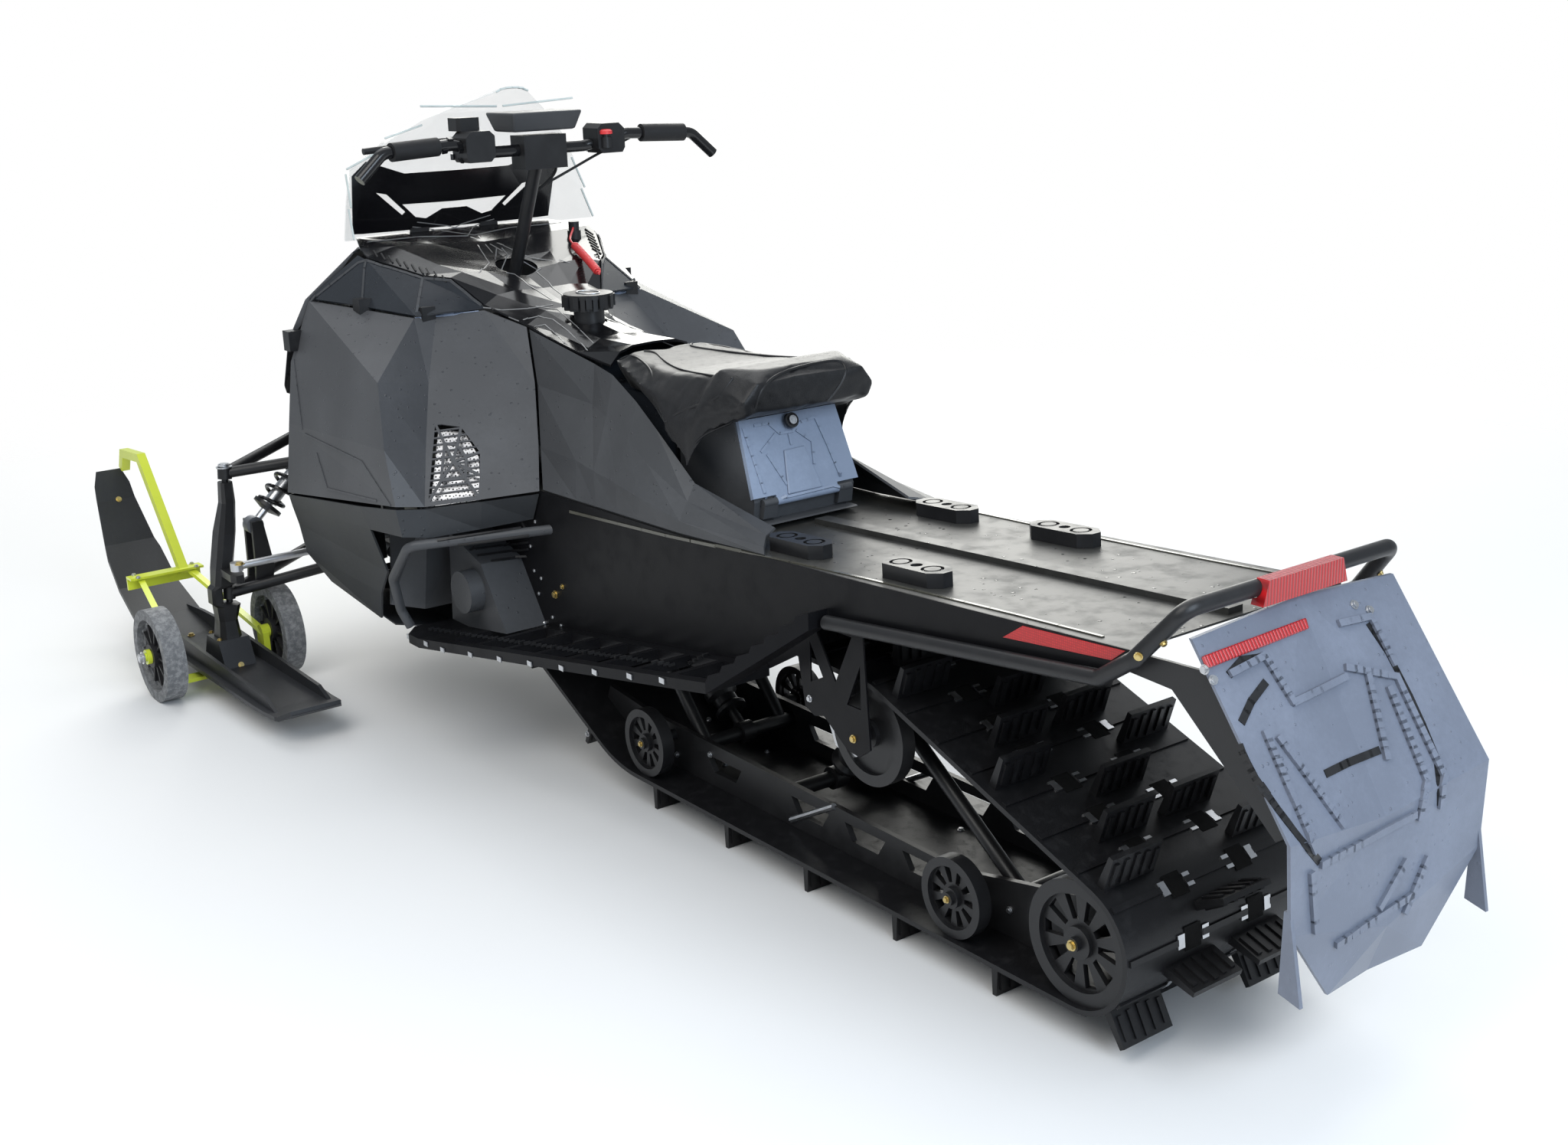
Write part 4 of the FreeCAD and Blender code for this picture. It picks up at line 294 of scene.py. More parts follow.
# %% A finish
class Finish:
    """A material with one Principled shader, its steady values given by name."""

    def __init__(self, name, **steady):
        self.material = bpy.data.materials.new(name)
        self.material.use_nodes = True
        self.tree = self.material.node_tree
        self.shader = self.tree.nodes["Principled BSDF"]
        for title, value in steady.items():
            self.shader.inputs[title.replace("_", " ")].default_value = value

    def node(self, kind, settings=None, sockets=None, out=0):
        node = self.tree.nodes.new(kind)
        for title, value in (settings or {}).items():
            setattr(node, title, value)
        for key, value in (sockets or {}).items():
            if isinstance(value, Wire):
                self.tree.links.new(value.socket, node.inputs[key])
            else:
                node.inputs[key].default_value = value
        return Wire(self, node.outputs[out])

    def spot(self, centre=(0, 0, 0), stretch=(1, 1, 1)):
        here = self.node("ShaderNodeTexCoord", out="Object")
        shifted = self.node("ShaderNodeVectorMath", {"operation": "SUBTRACT"}, {0: here, 1: centre})
        return self.node("ShaderNodeVectorMath", {"operation": "MULTIPLY"}, {0: shifted, 1: stretch})

    def away(self, centre=(0, 0, 0), stretch=(1, 1, 1)):
        """Distance from a centre, in metres."""
        here = self.spot(centre, stretch)
        return self.node("ShaderNodeVectorMath", {"operation": "LENGTH"}, {0: here}, out="Value")

    def upness(self):
        """How far the surface faces up, from -1 to 1."""
        normal = self.node("ShaderNodeNewGeometry", out="Normal")
        return self.node("ShaderNodeSeparateXYZ", None, {0: normal}, out="Z")

    def noise(self, size, detail=3.0, where=None, rough=0.5):
        """Cloudy noise from 0 to 1, its blotches about one size across, in millimetres."""
        return self.node("ShaderNodeTexNoise", None, {"Vector": where or self.spot(), "Scale": 1.0 / (size * MM),
                                                      "Detail": detail, "Roughness": rough})

    def cells(self, size, randomness=1.0, out="Distance"):
        """A pattern of cells about one size across, in millimetres."""
        return self.node("ShaderNodeTexVoronoi", None, {"Vector": self.spot(), "Scale": 1.0 / (size * MM),
                                                        "Randomness": randomness}, out=out)

    def step(self, value, low, high):
        return self.node("ShaderNodeMapRange", {"interpolation_type": "SMOOTHSTEP"},
                         {"Value": value, "From Min": low, "From Max": high})

    def between(self, mask, first, second):
        """A mix of two colours, each of them a tuple or a wire."""
        ends = [(*colour, 1.0) if isinstance(colour, tuple) else colour for colour in (first, second)]
        return self.node("ShaderNodeMix", {"data_type": "RGBA"}, {0: mask, 6: ends[0], 7: ends[1]}, out=2)

    def bump(self, height, depth, under=None):
        """Relief whose full height is a depth in millimetres."""
        sockets = {"Height": height, "Distance": depth * MM, "Strength": 1.0}
        if under:
            sockets["Normal"] = under
        return self.node("ShaderNodeBump", None, sockets)

    def feed(self, **wires):
        for title, wire in wires.items():
            self.tree.links.new(wire.socket, self.shader.inputs[title.replace("_", " ")])
        return self


print("shader maths ready")

# %% [markdown]
# ## Moulded and painted finishes
# The body is charcoal plastic from a grained mould: a fine leather-like bump, a soft sheen,
# and a slow change of tone where it was handled or dusted.
# Water drops stand on the upper and front faces. Each cell of a cell pattern may hold one drop,
# a dome in the bump and a shiny spot in the roughness.

# %% Grained plastic, with or without drops
DROP_WIDTH, DROP_RIM, WET_ROUGHNESS, WET_SLOPES = 0.34, 0.16, 0.06, (-0.35, 0.5)


def water_drops(finish, size, share):
    """Domes of water in a share of the cells, fewer as the surface turns downwards."""
    chance = finish.node("ShaderNodeSeparateColor", None, {0: finish.cells(size, out="Color")}, out=0)
    upward = finish.step(finish.upness(), *WET_SLOPES)
    width = chance * (DROP_WIDTH / share)
    dome = finish.step(width - finish.cells(size), 0.0, DROP_RIM)
    return dome * (chance < share) * upward


def grained_plastic(name, colour, roughness, grain=0.9, relief=0.10, drops=0.0, streak=0.12, coat=0.0):
    finish = Finish(name, Coat_Weight=coat, Coat_Roughness=0.18, Specular_IOR_Level=0.32)
    tone = finish.noise(160.0, 4.0)
    dusty = finish.noise(9.0, 6.0, rough=0.7)
    pale = tuple(min(1.0, c * 1.5 + 0.004) for c in colour)
    mask = finish.step(tone * 0.7 + dusty * 0.3, 0.40, 0.72)
    skin = finish.noise(grain, 2.0)
    rough = roughness + (dusty - 0.5) * streak
    height = finish.bump(skin, relief)
    if drops:
        dome = water_drops(finish, 8.5, drops)
        rough = rough * (1 - dome) + dome * WET_ROUGHNESS
        height = finish.bump(dome, 1.1, height)
    finish.feed(Base_Color=finish.between(mask * 0.5, colour, pale), Roughness=rough, Normal=height)
    return finish.material


charcoal = grained_plastic("charcoal_panel", (0.058, 0.060, 0.065), 0.46, drops=0.42)
fairing_plastic = grained_plastic("fairing_plastic", (0.050, 0.052, 0.056), 0.44, relief=0.06, drops=0.25)
belly_plastic = grained_plastic("belly_plastic", (0.026, 0.028, 0.031), 0.52, drops=0.3)
console_gloss = grained_plastic("console_gloss", (0.005, 0.005, 0.006), 0.13, relief=0.01, streak=0.08, coat=0.3)
smoked_plastic = grained_plastic("smoked_plastic", (0.016, 0.019, 0.024), 0.20, relief=0.01, drops=0.35, coat=0.4)
ski_plastic = grained_plastic("ski_plastic", (0.022, 0.023, 0.026), 0.42, grain=3.0, relief=0.15)
# The flap's colour is its own grey plus a painted cool sky reflection: it is paler and bluer than the plastic itself.
flap_plastic_painted_sky = grained_plastic("flap_plastic_painted_sky", (0.150, 0.168, 0.212), 0.36, grain=1.4, relief=0.12, drops=0.3)
# The door's colour is its own grey plus a painted cool sky reflection: it is paler and bluer than the plastic itself.
door_plastic_painted_sky = grained_plastic("door_plastic_painted_sky", (0.205, 0.248, 0.330), 0.42, relief=0.05, coat=0.15)
print("grained plastics made")

# %% [markdown]
# ## Metal
# Tubes and brackets are powder coated: an orange-peel bump and a satin black.
# Zinc-plated steel is a bright metal with crystal-like patches and fine drawn lines.
# The dollies are sprayed a greenish yellow, with chips down to grey on their corners.

# %% Powder coat, zinc and sprayed yellow
def powder_coat(name, colour, roughness, peel=1.6, dust=0.25, drops=0.0, shine=0.5):
    finish = Finish(name, Metallic=0.0, Specular_IOR_Level=shine)
    blotch = finish.step(finish.noise(45.0, 6.0, rough=0.65), 0.42, 0.75)
    pale = tuple(min(1.0, c * 1.6 + 0.02) for c in colour)
    rough, height = roughness + blotch * 0.14, finish.bump(finish.noise(peel, 1.0), 0.06)
    if drops:
        dome = water_drops(finish, 11.0, drops)
        rough, height = rough * (1 - dome) + dome * WET_ROUGHNESS, finish.bump(dome, 1.3, height)
    finish.feed(Base_Color=finish.between(blotch * dust, colour, pale), Roughness=rough, Normal=height)
    return finish.material


def bright_steel(name, colour, roughness, drawn=(1, 1, 30)):
    finish = Finish(name, Metallic=1.0)
    crystal = finish.noise(14.0, 2.0)
    lines = finish.noise(6.0, 3.0, where=finish.spot(stretch=drawn))
    dull = tuple(c * 0.72 for c in colour)
    finish.feed(Base_Color=finish.between(crystal, dull, colour), Roughness=roughness + lines * 0.14,
                Normal=finish.bump(lines, 0.03))
    return finish.material


def sprayed_yellow(name):
    finish = Finish(name, Coat_Weight=0.4, Coat_Roughness=0.12, Specular_IOR_Level=0.5)
    tone = finish.noise(70.0, 3.0)
    chips = finish.step(finish.noise(7.0, 5.0, rough=0.75), 0.69, 0.73)
    paint = finish.between(tone, (0.60, 0.70, 0.035), (0.72, 0.80, 0.07))
    finish.feed(Base_Color=finish.between(chips, paint, (0.20, 0.20, 0.17)), Roughness=0.30 + chips * 0.35,
                Normal=finish.bump(finish.noise(2.2, 2.0) - chips * 0.6, 0.08))
    return finish.material


frame_paint = powder_coat("frame_powder_coat", (0.011, 0.011, 0.012), 0.36, dust=0.12, shine=0.4)
deck_paint = powder_coat("deck_paint", (0.026, 0.026, 0.024), 0.42, peel=2.4, dust=0.3, drops=0.3)
tunnel_paint = powder_coat("tunnel_paint", (0.006, 0.006, 0.007), 0.34, peel=2.4, dust=0.06, shine=0.12)
bar_paint = powder_coat("bar_gloss_black", (0.008, 0.008, 0.009), 0.14, peel=4.0, dust=0.1)
zinc = bright_steel("zinc_plate", (0.66, 0.67, 0.69), 0.26)
dull_alloy = bright_steel("cast_alloy", (0.34, 0.35, 0.37), 0.42, drawn=(1, 1, 1))
gold_zinc = bright_steel("gold_zinc", (0.70, 0.55, 0.24), 0.28)
dolly_yellow = sprayed_yellow("dolly_yellow")
print("metals made")

# %% [markdown]
# ## Rubber, vinyl and clear sheet
# Rubber is nearly black and hardly shines, and its scuffs are paler and rougher.
# The dolly wheels are one node each, so distance from the axle tells the grey tyre from its black hub.
# The windscreen lets most light through and shows mainly by its reflections.

# %% Rubber
HUB_EDGE = 0.0008


def black_rubber(name, colour, roughness=0.62, scuff=0.35, grain=1.1, shine=0.3):
    finish = Finish(name, Specular_IOR_Level=shine)
    worn = finish.step(finish.noise(22.0, 6.0, rough=0.7), 0.47, 0.72)
    pale = tuple(c * 2.2 + 0.02 for c in colour)
    finish.feed(Base_Color=finish.between(worn * scuff, colour, pale), Roughness=roughness + worn * 0.15,
                Normal=finish.bump(finish.noise(grain, 3.0), 0.12))
    return finish.material


def dolly_tyre(name, station, height, hub_radius):
    finish = Finish(name, Specular_IOR_Level=0.3)
    away = finish.away(tuple(place(station, 0, height)), stretch=(1, 0, 1))
    tyre = finish.step(away, hub_radius * MM - HUB_EDGE, hub_radius * MM + HUB_EDGE)
    worn = finish.step(finish.noise(13.0, 6.0, rough=0.75), 0.40, 0.66)
    grey = finish.between(worn, (0.135, 0.140, 0.148), (0.27, 0.275, 0.28))
    finish.feed(Base_Color=finish.between(tyre, (0.020, 0.020, 0.022), grey), Roughness=0.50 + tyre * 0.25,
                Normal=finish.bump(finish.noise(1.6, 4.0) * (tyre + 0.2), 0.35))
    return finish.material


WHEEL_STATION, WHEEL_HEIGHT, HUB_RADIUS = 2225.0, 100.0, 66.0
track_rubber = black_rubber("track_rubber", (0.007, 0.007, 0.008), 0.42, scuff=0.22, grain=1.8, shine=0.35)
grip_rubber = black_rubber("grip_rubber", (0.014, 0.014, 0.015), 0.55, scuff=0.15)
hose_rubber = black_rubber("hose_rubber", (0.010, 0.010, 0.010), 0.48, scuff=0.1)
wheel_rubber = dolly_tyre("worn_grey_tyre", WHEEL_STATION, WHEEL_HEIGHT, HUB_RADIUS)
print("rubbers made")

# %% [markdown]
# Vinyl has a pebbled skin, which a smooth cell pattern gives, over slow creases from the foam below.
# Clear sheet is made with Alpha, not with real glass: a thin sheet hardly bends light,
# and a veil that is mostly see-through renders fast and survives the export.

# %% Vinyl and clear sheet
def seat_vinyl(name, colour, pore, depth, roughness):
    finish = Finish(name, Specular_IOR_Level=0.30, Sheen_Weight=0.03, Sheen_Roughness=0.4)
    pebble = finish.node("ShaderNodeTexVoronoi", {"feature": "SMOOTH_F1"},
                         {"Vector": finish.spot(), "Scale": 1.0 / (pore * MM), "Smoothness": 0.6}, out="Distance")
    crease = finish.noise(26.0, 4.0)
    dust = finish.step(finish.noise(11.0, 6.0, rough=0.7), 0.48, 0.75)
    finish.feed(Base_Color=finish.between(dust * 0.35, colour, tuple(c * 2 + 0.008 for c in colour)),
                Roughness=roughness + dust * 0.12, Normal=finish.bump(pebble, depth, finish.bump(crease, 0.4)))
    return finish.material


def clear_sheet(name, tint, veil):
    """Clear plastic as a thin veil: mostly see-through, with a mirror-like surface."""
    finish = Finish(name, Roughness=0.04, Specular_IOR_Level=0.6)
    smear = finish.noise(60.0, 4.0)
    finish.feed(Base_Color=finish.between(smear, tint, tuple(min(1.0, c * 1.1) for c in tint)),
                Alpha=veil + smear * 0.06)
    return finish.material


top_vinyl = seat_vinyl("seat_vinyl", (0.010, 0.010, 0.011), 1.8, 0.22, 0.40)
piping_vinyl = seat_vinyl("piping_vinyl", (0.010, 0.010, 0.011), 1.2, 0.10, 0.36)
windscreen = clear_sheet("clear_windscreen", (0.62, 0.68, 0.68), 0.12)
print("vinyl and clear sheet made")

# %% [markdown]
# A lamp lens has fine upright ribs inside that spread its light, which a wave pattern draws.
# The studio floor is plain paper. Its Alpha falls with distance, so it fades into the white
# backdrop and no horizon cuts across the picture.

# %% Lenses, tether and floor
FLOOR_FADES = (2.2, 4.6)


def lamp_lens(name, colour, glow):
    finish = Finish(name, Coat_Weight=0.8, Coat_Roughness=0.04, Roughness=0.12)
    ribs = finish.node("ShaderNodeTexWave", {"bands_direction": "Y"}, {"Vector": finish.spot(), "Scale": 55.0})
    deep = tuple(c * glow for c in colour)
    finish.feed(Base_Color=finish.between(ribs, deep, colour), Normal=finish.bump(ribs, 0.6))
    return finish.material


red_lens = lamp_lens("red_lens", (0.55, 0.012, 0.016), 0.45)
clear_lens = lamp_lens("clear_lens", (0.55, 0.57, 0.60), 0.3)
tether_rubber = Finish("tether_rubber", Roughness=0.30, Coat_Weight=0.2)
tether_rubber.feed(Base_Color=tether_rubber.between(tether_rubber.noise(8.0), (0.62, 0.030, 0.035), (0.74, 0.06, 0.06)))
tether_red = tether_rubber.material
floor_paper = Finish("floor_paper", Roughness=0.85)
floor_paper.feed(Base_Color=floor_paper.between(floor_paper.noise(900.0), (0.74, 0.74, 0.74), (0.78, 0.78, 0.78)),
                 Alpha=1.0 - floor_paper.step(floor_paper.away(), *FLOOR_FADES))
floor.data.materials.append(floor_paper.material)
print("lenses, tether and floor made")

# %% [markdown]
# The rigid pieces get their finishes from one table, so that the whole machine's materials can be
# read at a glance. What the table doesn't name is painted like the frame.

# %% Give every rigid piece its finish
FINISHES = {
    charcoal: ("side_panel_left", "side_panel_right", "hood"),
    belly_plastic: ("belly_panel_left", "belly_panel_right", "belly_pan", "nose"),
    fairing_plastic: ("fairings", "bar_pad", "storage_box", "footwells"),
    console_gloss: ("console", "dash_wing"),
    smoked_plastic: ("upper_cowls", "fuel_tank"),
    ski_plastic: ("ski_left", "ski_right"),
    flap_plastic_painted_sky: ("snow_flap",),
    door_plastic_painted_sky: ("storage_door",),
    deck_paint: ("tunnel_top",),
    tunnel_paint: ("tunnel_sides", "running_boards"),
    bar_paint: ("handlebar",),
    track_rubber: ("track",),
    grip_rubber: ("grips",),
    windscreen: ("windshield",),
    red_lens: ("tail_light",),
    clear_lens: ("headlight",),
    dull_alloy: ("engine_block",),
    zinc: ("tie_rods",),
    dolly_yellow: ("dolly_frame_left", "dolly_frame_right"),
    wheel_rubber: tuple("dolly_wheel_%s_%s" % (part, side) for part in ("outer", "inner") for side, _ in SIDES),
    top_vinyl: ("seat_cushion",),
    tether_red: ("tether_curl", "tether_lead"),
}


def paint(piece, finish):
    if not piece.material_slots:
        piece.data.materials.append(finish)
    for slot in piece.material_slots:
        slot.material = finish


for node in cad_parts.values():
    paint(node, frame_paint)
for finish, names in FINISHES.items():
    for name in names:
        paint(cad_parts[name], finish)
paint(tether, tether_red)
print("painted", len(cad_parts), "nodes")

# %% [markdown]
# The tether is a cord: both its ends hold to the machine, and it keeps its coiled lay.
# Its length is measured along the finished curve, because the curls take up most of it.

# %% The tether rides with the machine
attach(tether, "chassis")
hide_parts("tether_curl", "tether_lead")
print("the tether rides on the chassis")

# %% [markdown]
# ## Placing small parts from the picture
# A rivet or a raised line is easiest to place where the photo shows it.
# A ray from the camera through a point of the picture meets the rigid piece that carries the part,
# so the part sits on that surface from every side, and its mirrored twin on the other half.
# Places in the picture are in its own pixels, across and down.

# %% From the picture to a surface
FRAME_HEIGHT = 1495.0
SEARCH_REACH, SEARCH_STEP, SEARCH_TURNS = 80, 2, 16


def surface_of(*names):
    points, faces = [], []
    for name in names:
        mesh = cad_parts[name].data
        faces += [tuple(v + len(points) for v in polygon.vertices) for polygon in mesh.polygons]
        points += [vertex.co.copy() for vertex in mesh.vertices]
    return BVHTree.FromPolygons(points, faces)


def picture_ray(across, down):
    aim = Vector(((across - FRAME_PIXELS / 2) / FOCAL_PIXELS, (FRAME_HEIGHT / 2 - down) / FOCAL_PIXELS, -1.0))
    return (camera.matrix_world.to_3x3() @ aim).normalized()


def seen_on(surface, across, down):
    """Where a picture point falls on a surface, and the surface's normal towards the camera.
    Where the ray slips past an edge, the nearest point that meets the surface is taken."""
    for reach in range(0, SEARCH_REACH, SEARCH_STEP):
        for turn in range(SEARCH_TURNS if reach else 1):
            angle = turn * 2 * math.pi / SEARCH_TURNS
            aim = picture_ray(across + reach * math.cos(angle), down + reach * math.sin(angle))
            spot, normal = surface.ray_cast(CAMERA_PLACE, aim)[:2]
            if spot is not None:
                return spot, normal if normal.dot(aim) < 0 else -normal
    raise ValueError("nothing is seen near %s, %s" % (across, down))


def spots_on(surface, row):
    return [seen_on(surface, *spot)[0] for spot in row]


def mirrored(pair):
    return tuple(mirror(v) for v in pair)


print("the flap is seen at", tuple(round(v, 3) for v in seen_on(surface_of("snow_flap"), 1700, 950)[0]))

# %% [markdown]
# ## Master shapes
# Each repeated part is modelled once near the origin: a bolt, a rivet and a raised bar.
# Copies take their own mesh, are turned to the surface, and are joined to one object per body.
# Repeated shapes stay under a few dozen faces, because there are hundreds of them.

# %% Beginning and finishing a piece
def begin(name, add, **size_and_place):
    deselect()
    add(**size_and_place)
    piece = bpy.context.active_object
    piece.name = name
    return piece


def select_only(*pieces):
    deselect()
    for piece in pieces:
        piece.select_set(True)
    bpy.context.view_layer.objects.active = pieces[0]


def pick_faces(piece, wanted):
    """In edit mode, select the faces whose centre and normal pass a test."""
    bpy.ops.object.mode_set(mode="EDIT")
    bpy.ops.mesh.select_mode(type="FACE")
    bpy.ops.mesh.select_all(action="DESELECT")
    bpy.ops.object.mode_set(mode="OBJECT")
    for polygon in piece.data.polygons:
        polygon.select = wanted(polygon.center, polygon.normal)
    bpy.ops.object.mode_set(mode="EDIT")


def pick_top(piece):
    pick_faces(piece, lambda centre, normal: normal.z > 0.9)


def raise_picked(height):
    bpy.ops.mesh.extrude_region_move(TRANSFORM_OT_translate={"value": (0, 0, height)})


def settle(piece, body, finish, smooth=None):
    """Bring a finished piece to the origin with its place in its mesh, and let it ride."""
    select_only(piece)
    for modifier in list(piece.modifiers):
        bpy.ops.object.modifier_apply(modifier=modifier.name)
    bpy.ops.object.transform_apply(location=True, rotation=True, scale=True)
    if smooth:
        bpy.ops.object.shade_smooth_by_angle(angle=math.radians(smooth))
    piece.data.materials.clear()
    piece.data.materials.append(finish)
    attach(piece, body)
    return piece


print("modelling helpers ready")

# %% [markdown]
# A copy is put down by a frame: a spot, the surface's normal as its Z, a direction as its X and a size.
# The frame goes into the copy's mesh, so the joined piece itself stays at the origin.

# %% Copies of a master
def facing(spot, normal, along=AHEAD, size=(1, 1, 1)):
    """A frame at a spot, its Z on the normal and its X along a direction."""
    up = normal.normalized()
    ahead = (along - along.dot(up) * up).normalized()
    turn = Matrix((ahead, up.cross(ahead), up)).transposed()
    return Matrix.LocRotScale(spot, turn, None) @ Matrix.Diagonal((*[s * MM for s in size], 1.0))


def stamp(master, name, frames, body, finish, smooth=None):
    copies = []
    for turn in frames:
        copy = master.copy()
        copy.data = master.data.copy()
        copy.data.transform(turn @ master.matrix_world)
        copy.matrix_world = Matrix.Identity(4)
        bpy.context.collection.objects.link(copy)
        copies.append(copy)
    select_only(*copies)
    if len(copies) > 1:
        bpy.ops.object.join()
    copies[0].name = name
    return settle(copies[0], body, finish, smooth)


def stamp_and_clear(master, name, frames, body, finish):
    """Stamp a turned shape that nothing else uses, and put its master away."""
    bpy.ops.object.mode_set(mode="OBJECT")
    stamp(master, name, frames, body, finish, smooth=35)
    bpy.data.objects.remove(master)


print("copies are set by frames")

# %% [markdown]
# The three masters are modelled in units of one, and a frame gives the copy its size in millimetres:
# the width of a bolt's head, the radius of a rivet, or the length, width and height of a bar.
# Each starts as a primitive and gets its form from insets and extrusions of its top face.

# %% The masters, one millimetre units
def flange_bolt():
    """A head on a round flange, about one across, seated at the origin."""
    bolt = begin("bolt_master", bpy.ops.mesh.primitive_cylinder_add, vertices=12, radius=0.72, depth=0.16,
                 location=(0, 0, 0.08))
    pick_top(bolt)
    bpy.ops.mesh.inset(thickness=0.2)
    raise_picked(0.34)
    bpy.ops.mesh.inset(thickness=0.1)
    raise_picked(0.06)
    bpy.ops.object.mode_set(mode="OBJECT")
    return bolt


def round_rivet():
    """A domed rivet head of radius one."""
    rivet = begin("rivet_master", bpy.ops.mesh.primitive_cylinder_add, vertices=10, radius=1.0, depth=0.3,
                  location=(0, 0, 0.15))
    pick_top(rivet)
    bpy.ops.mesh.inset(thickness=0.35)
    bpy.ops.transform.translate(value=(0, 0, 0.3))
    bpy.ops.object.mode_set(mode="OBJECT")
    return rivet


def raised_bar():
    """A bar one long, one wide and one high on the surface, its top narrower than its foot."""
    side_inset = 0.18
    bar = begin("bar_master", bpy.ops.mesh.primitive_cube_add, size=1.0, location=(0, 0, 0.5))
    pick_top(bar)
    bpy.ops.mesh.inset(thickness=side_inset)
    bpy.ops.transform.resize(value=(1 / (1 - 2 * side_inset), 1.0, 1.0))
    bpy.ops.object.mode_set(mode="OBJECT")
    return bar


bolt, rivet, bar = flange_bolt(), round_rivet(), raised_bar()
print("masters have", [len(m.data.polygons) for m in (bolt, rivet, bar)], "faces")

# %% [markdown]
# A raised line is a row of short bars. Over a folded surface a long bar would sink into one facet
# and stand clear of the next, so a row of picture points is first cut into short steps.

# %% Rows of raised bars
def line_frames(spots, width, height, sink=0.4):
    """Frames of raised bars that join a row of spots, each a point and a normal."""
    frames = []
    for (a, normal_a), (b, normal_b) in zip(spots, spots[1:]):
        up = (normal_a + normal_b).normalized()
        length = (b - a).length / MM + width * 0.5
        frames.append(facing((a + b) / 2 - up * sink * MM, up, b - a, (length, width, height + sink)))
    return frames


def in_steps(row, step):
    """A row of picture points with more between them, so that a line follows a folded surface."""
    finer = [row[0]]
    for (x0, y0), (x1, y1) in zip(row, row[1:]):
        count = max(1, round(math.dist((x0, y0), (x1, y1)) / step))
        finer += [(x0 + (x1 - x0) * k / count, y0 + (y1 - y0) * k / count) for k in range(1, count + 1)]
    return finer


def picture_lines(surface, rows, width, height, both_sides=False, step=12.0):
    frames = []
    for row in rows:
        spots = [seen_on(surface, across, down) for across, down in in_steps(row, step)]
        frames += line_frames(spots, width, height)
        if both_sides:
            frames += line_frames([mirrored(spot) for spot in spots], width, height)
    return frames


print("rows of bars ready")

# %% [markdown]
# A flat plate could be a scaled cube, but few brackets are square. A circle with one corner for each
# corner of the plate is moved to its outline and extruded by its thickness.
# A hose is a curve with a round bevel, which is then made a mesh.

# %% Flat plates and bent tubes
def cut_plate(name, corners, thickness, lift, body, finish, bevel=0.4):
    """A thin flat plate with the given corners, drawn on one side and given its thickness."""
    plate = begin(name, bpy.ops.mesh.primitive_circle_add, vertices=len(corners), fill_type="NGON", radius=1.0)
    normal = sum(((b - a).cross(c - a) for a, b, c in zip(corners, corners[1:], corners[2:])), Vector()).normalized()
    for vertex, corner in zip(plate.data.vertices, corners):
        vertex.co = corner + normal * lift * MM
    bpy.ops.object.mode_set(mode="EDIT")
    bpy.ops.mesh.select_all(action="SELECT")
    bpy.ops.mesh.extrude_region_move(TRANSFORM_OT_translate={"value": normal * thickness * MM})
    bpy.ops.mesh.select_all(action="SELECT")
    bpy.ops.mesh.normals_make_consistent(inside=False)
    bpy.ops.object.mode_set(mode="OBJECT")
    edge = plate.modifiers.new("edge", "BEVEL")
    edge.width, edge.segments, edge.limit_method = bevel * MM, 1, "ANGLE"
    return settle(plate, body, finish)


def bent_tube(name, points, radius, body, finish):
    """A hose or wire along given points, closed at its ends and made a mesh."""
    line = nurbs_through(points, name)
    line.data.bevel_depth, line.data.bevel_resolution, line.data.use_fill_caps = radius * MM, 2, True
    line.data.resolution_u = 6
    select_only(line)
    bpy.ops.object.convert(target="MESH")
    return settle(bpy.context.active_object, body, finish, smooth=40)


print("drawing helpers ready")

# %% [markdown]
# ## The snow flap
# The flap is a moulded sheet that hangs behind the track. Its ribs stiffen it and its gutters let snow run off,
# and both are easy to read as raised and dark sunk lines. They are drawn over the moulded face from the picture,
# the gutters as thin black bars: a painted shade in the sunk grooves.

# %% Ribs and gutters of the flap
FLAP_RIBS = (
    ((1606, 880), (1650, 857), (1688, 918), (1756, 884)), ((1748, 815), (1788, 806), (1820, 868)),
    ((1757, 872), (1822, 884)), ((1651, 957), (1716, 1110)), ((1669, 964), (1752, 1078)), ((1785, 880), (1810, 990)),
    ((1813, 899), (1862, 1020), (1852, 1068)), ((1822, 883), (1884, 1013), (1880, 1052)), ((1724, 1128), (1846, 1063)),
    ((1711, 1140), (1716, 1215)), ((1800, 1184), (1834, 1124)), ((1833, 1190), (1862, 1120)),
    ((1744, 1232), (1842, 1168)),
)
FLAP_GUTTERS = (
    ((1610, 974), (1640, 1016), (1668, 1056), (1694, 1090), (1722, 1124)), ((1606, 880), (1622, 862), (1650, 858)),
    ((1788, 816), (1812, 852), (1836, 898), (1858, 946), (1876, 990), (1880, 1022), (1880, 1048)),
    ((1652, 892), (1634, 916), (1622, 942)), ((1732, 1010), (1760, 996), (1800, 980)),
)
flap_face = surface_of("snow_flap")
stamp(bar, "flap_ribs", picture_lines(flap_face, FLAP_RIBS, 9.0, 5.0), "chassis", flap_plastic_painted_sky)
# The gutters' black bars are painted shade in the grooves.
stamp(bar, "flap_gutter_shade", picture_lines(flap_face, FLAP_GUTTERS, 10.0, 1.2), "chassis", frame_paint)
print("flap has", len(FLAP_RIBS), "ribs and", len(FLAP_GUTTERS), "gutters")

# %% [markdown]
# Four bolts hold the flap to its struts, and a red lens is let into its top edge.

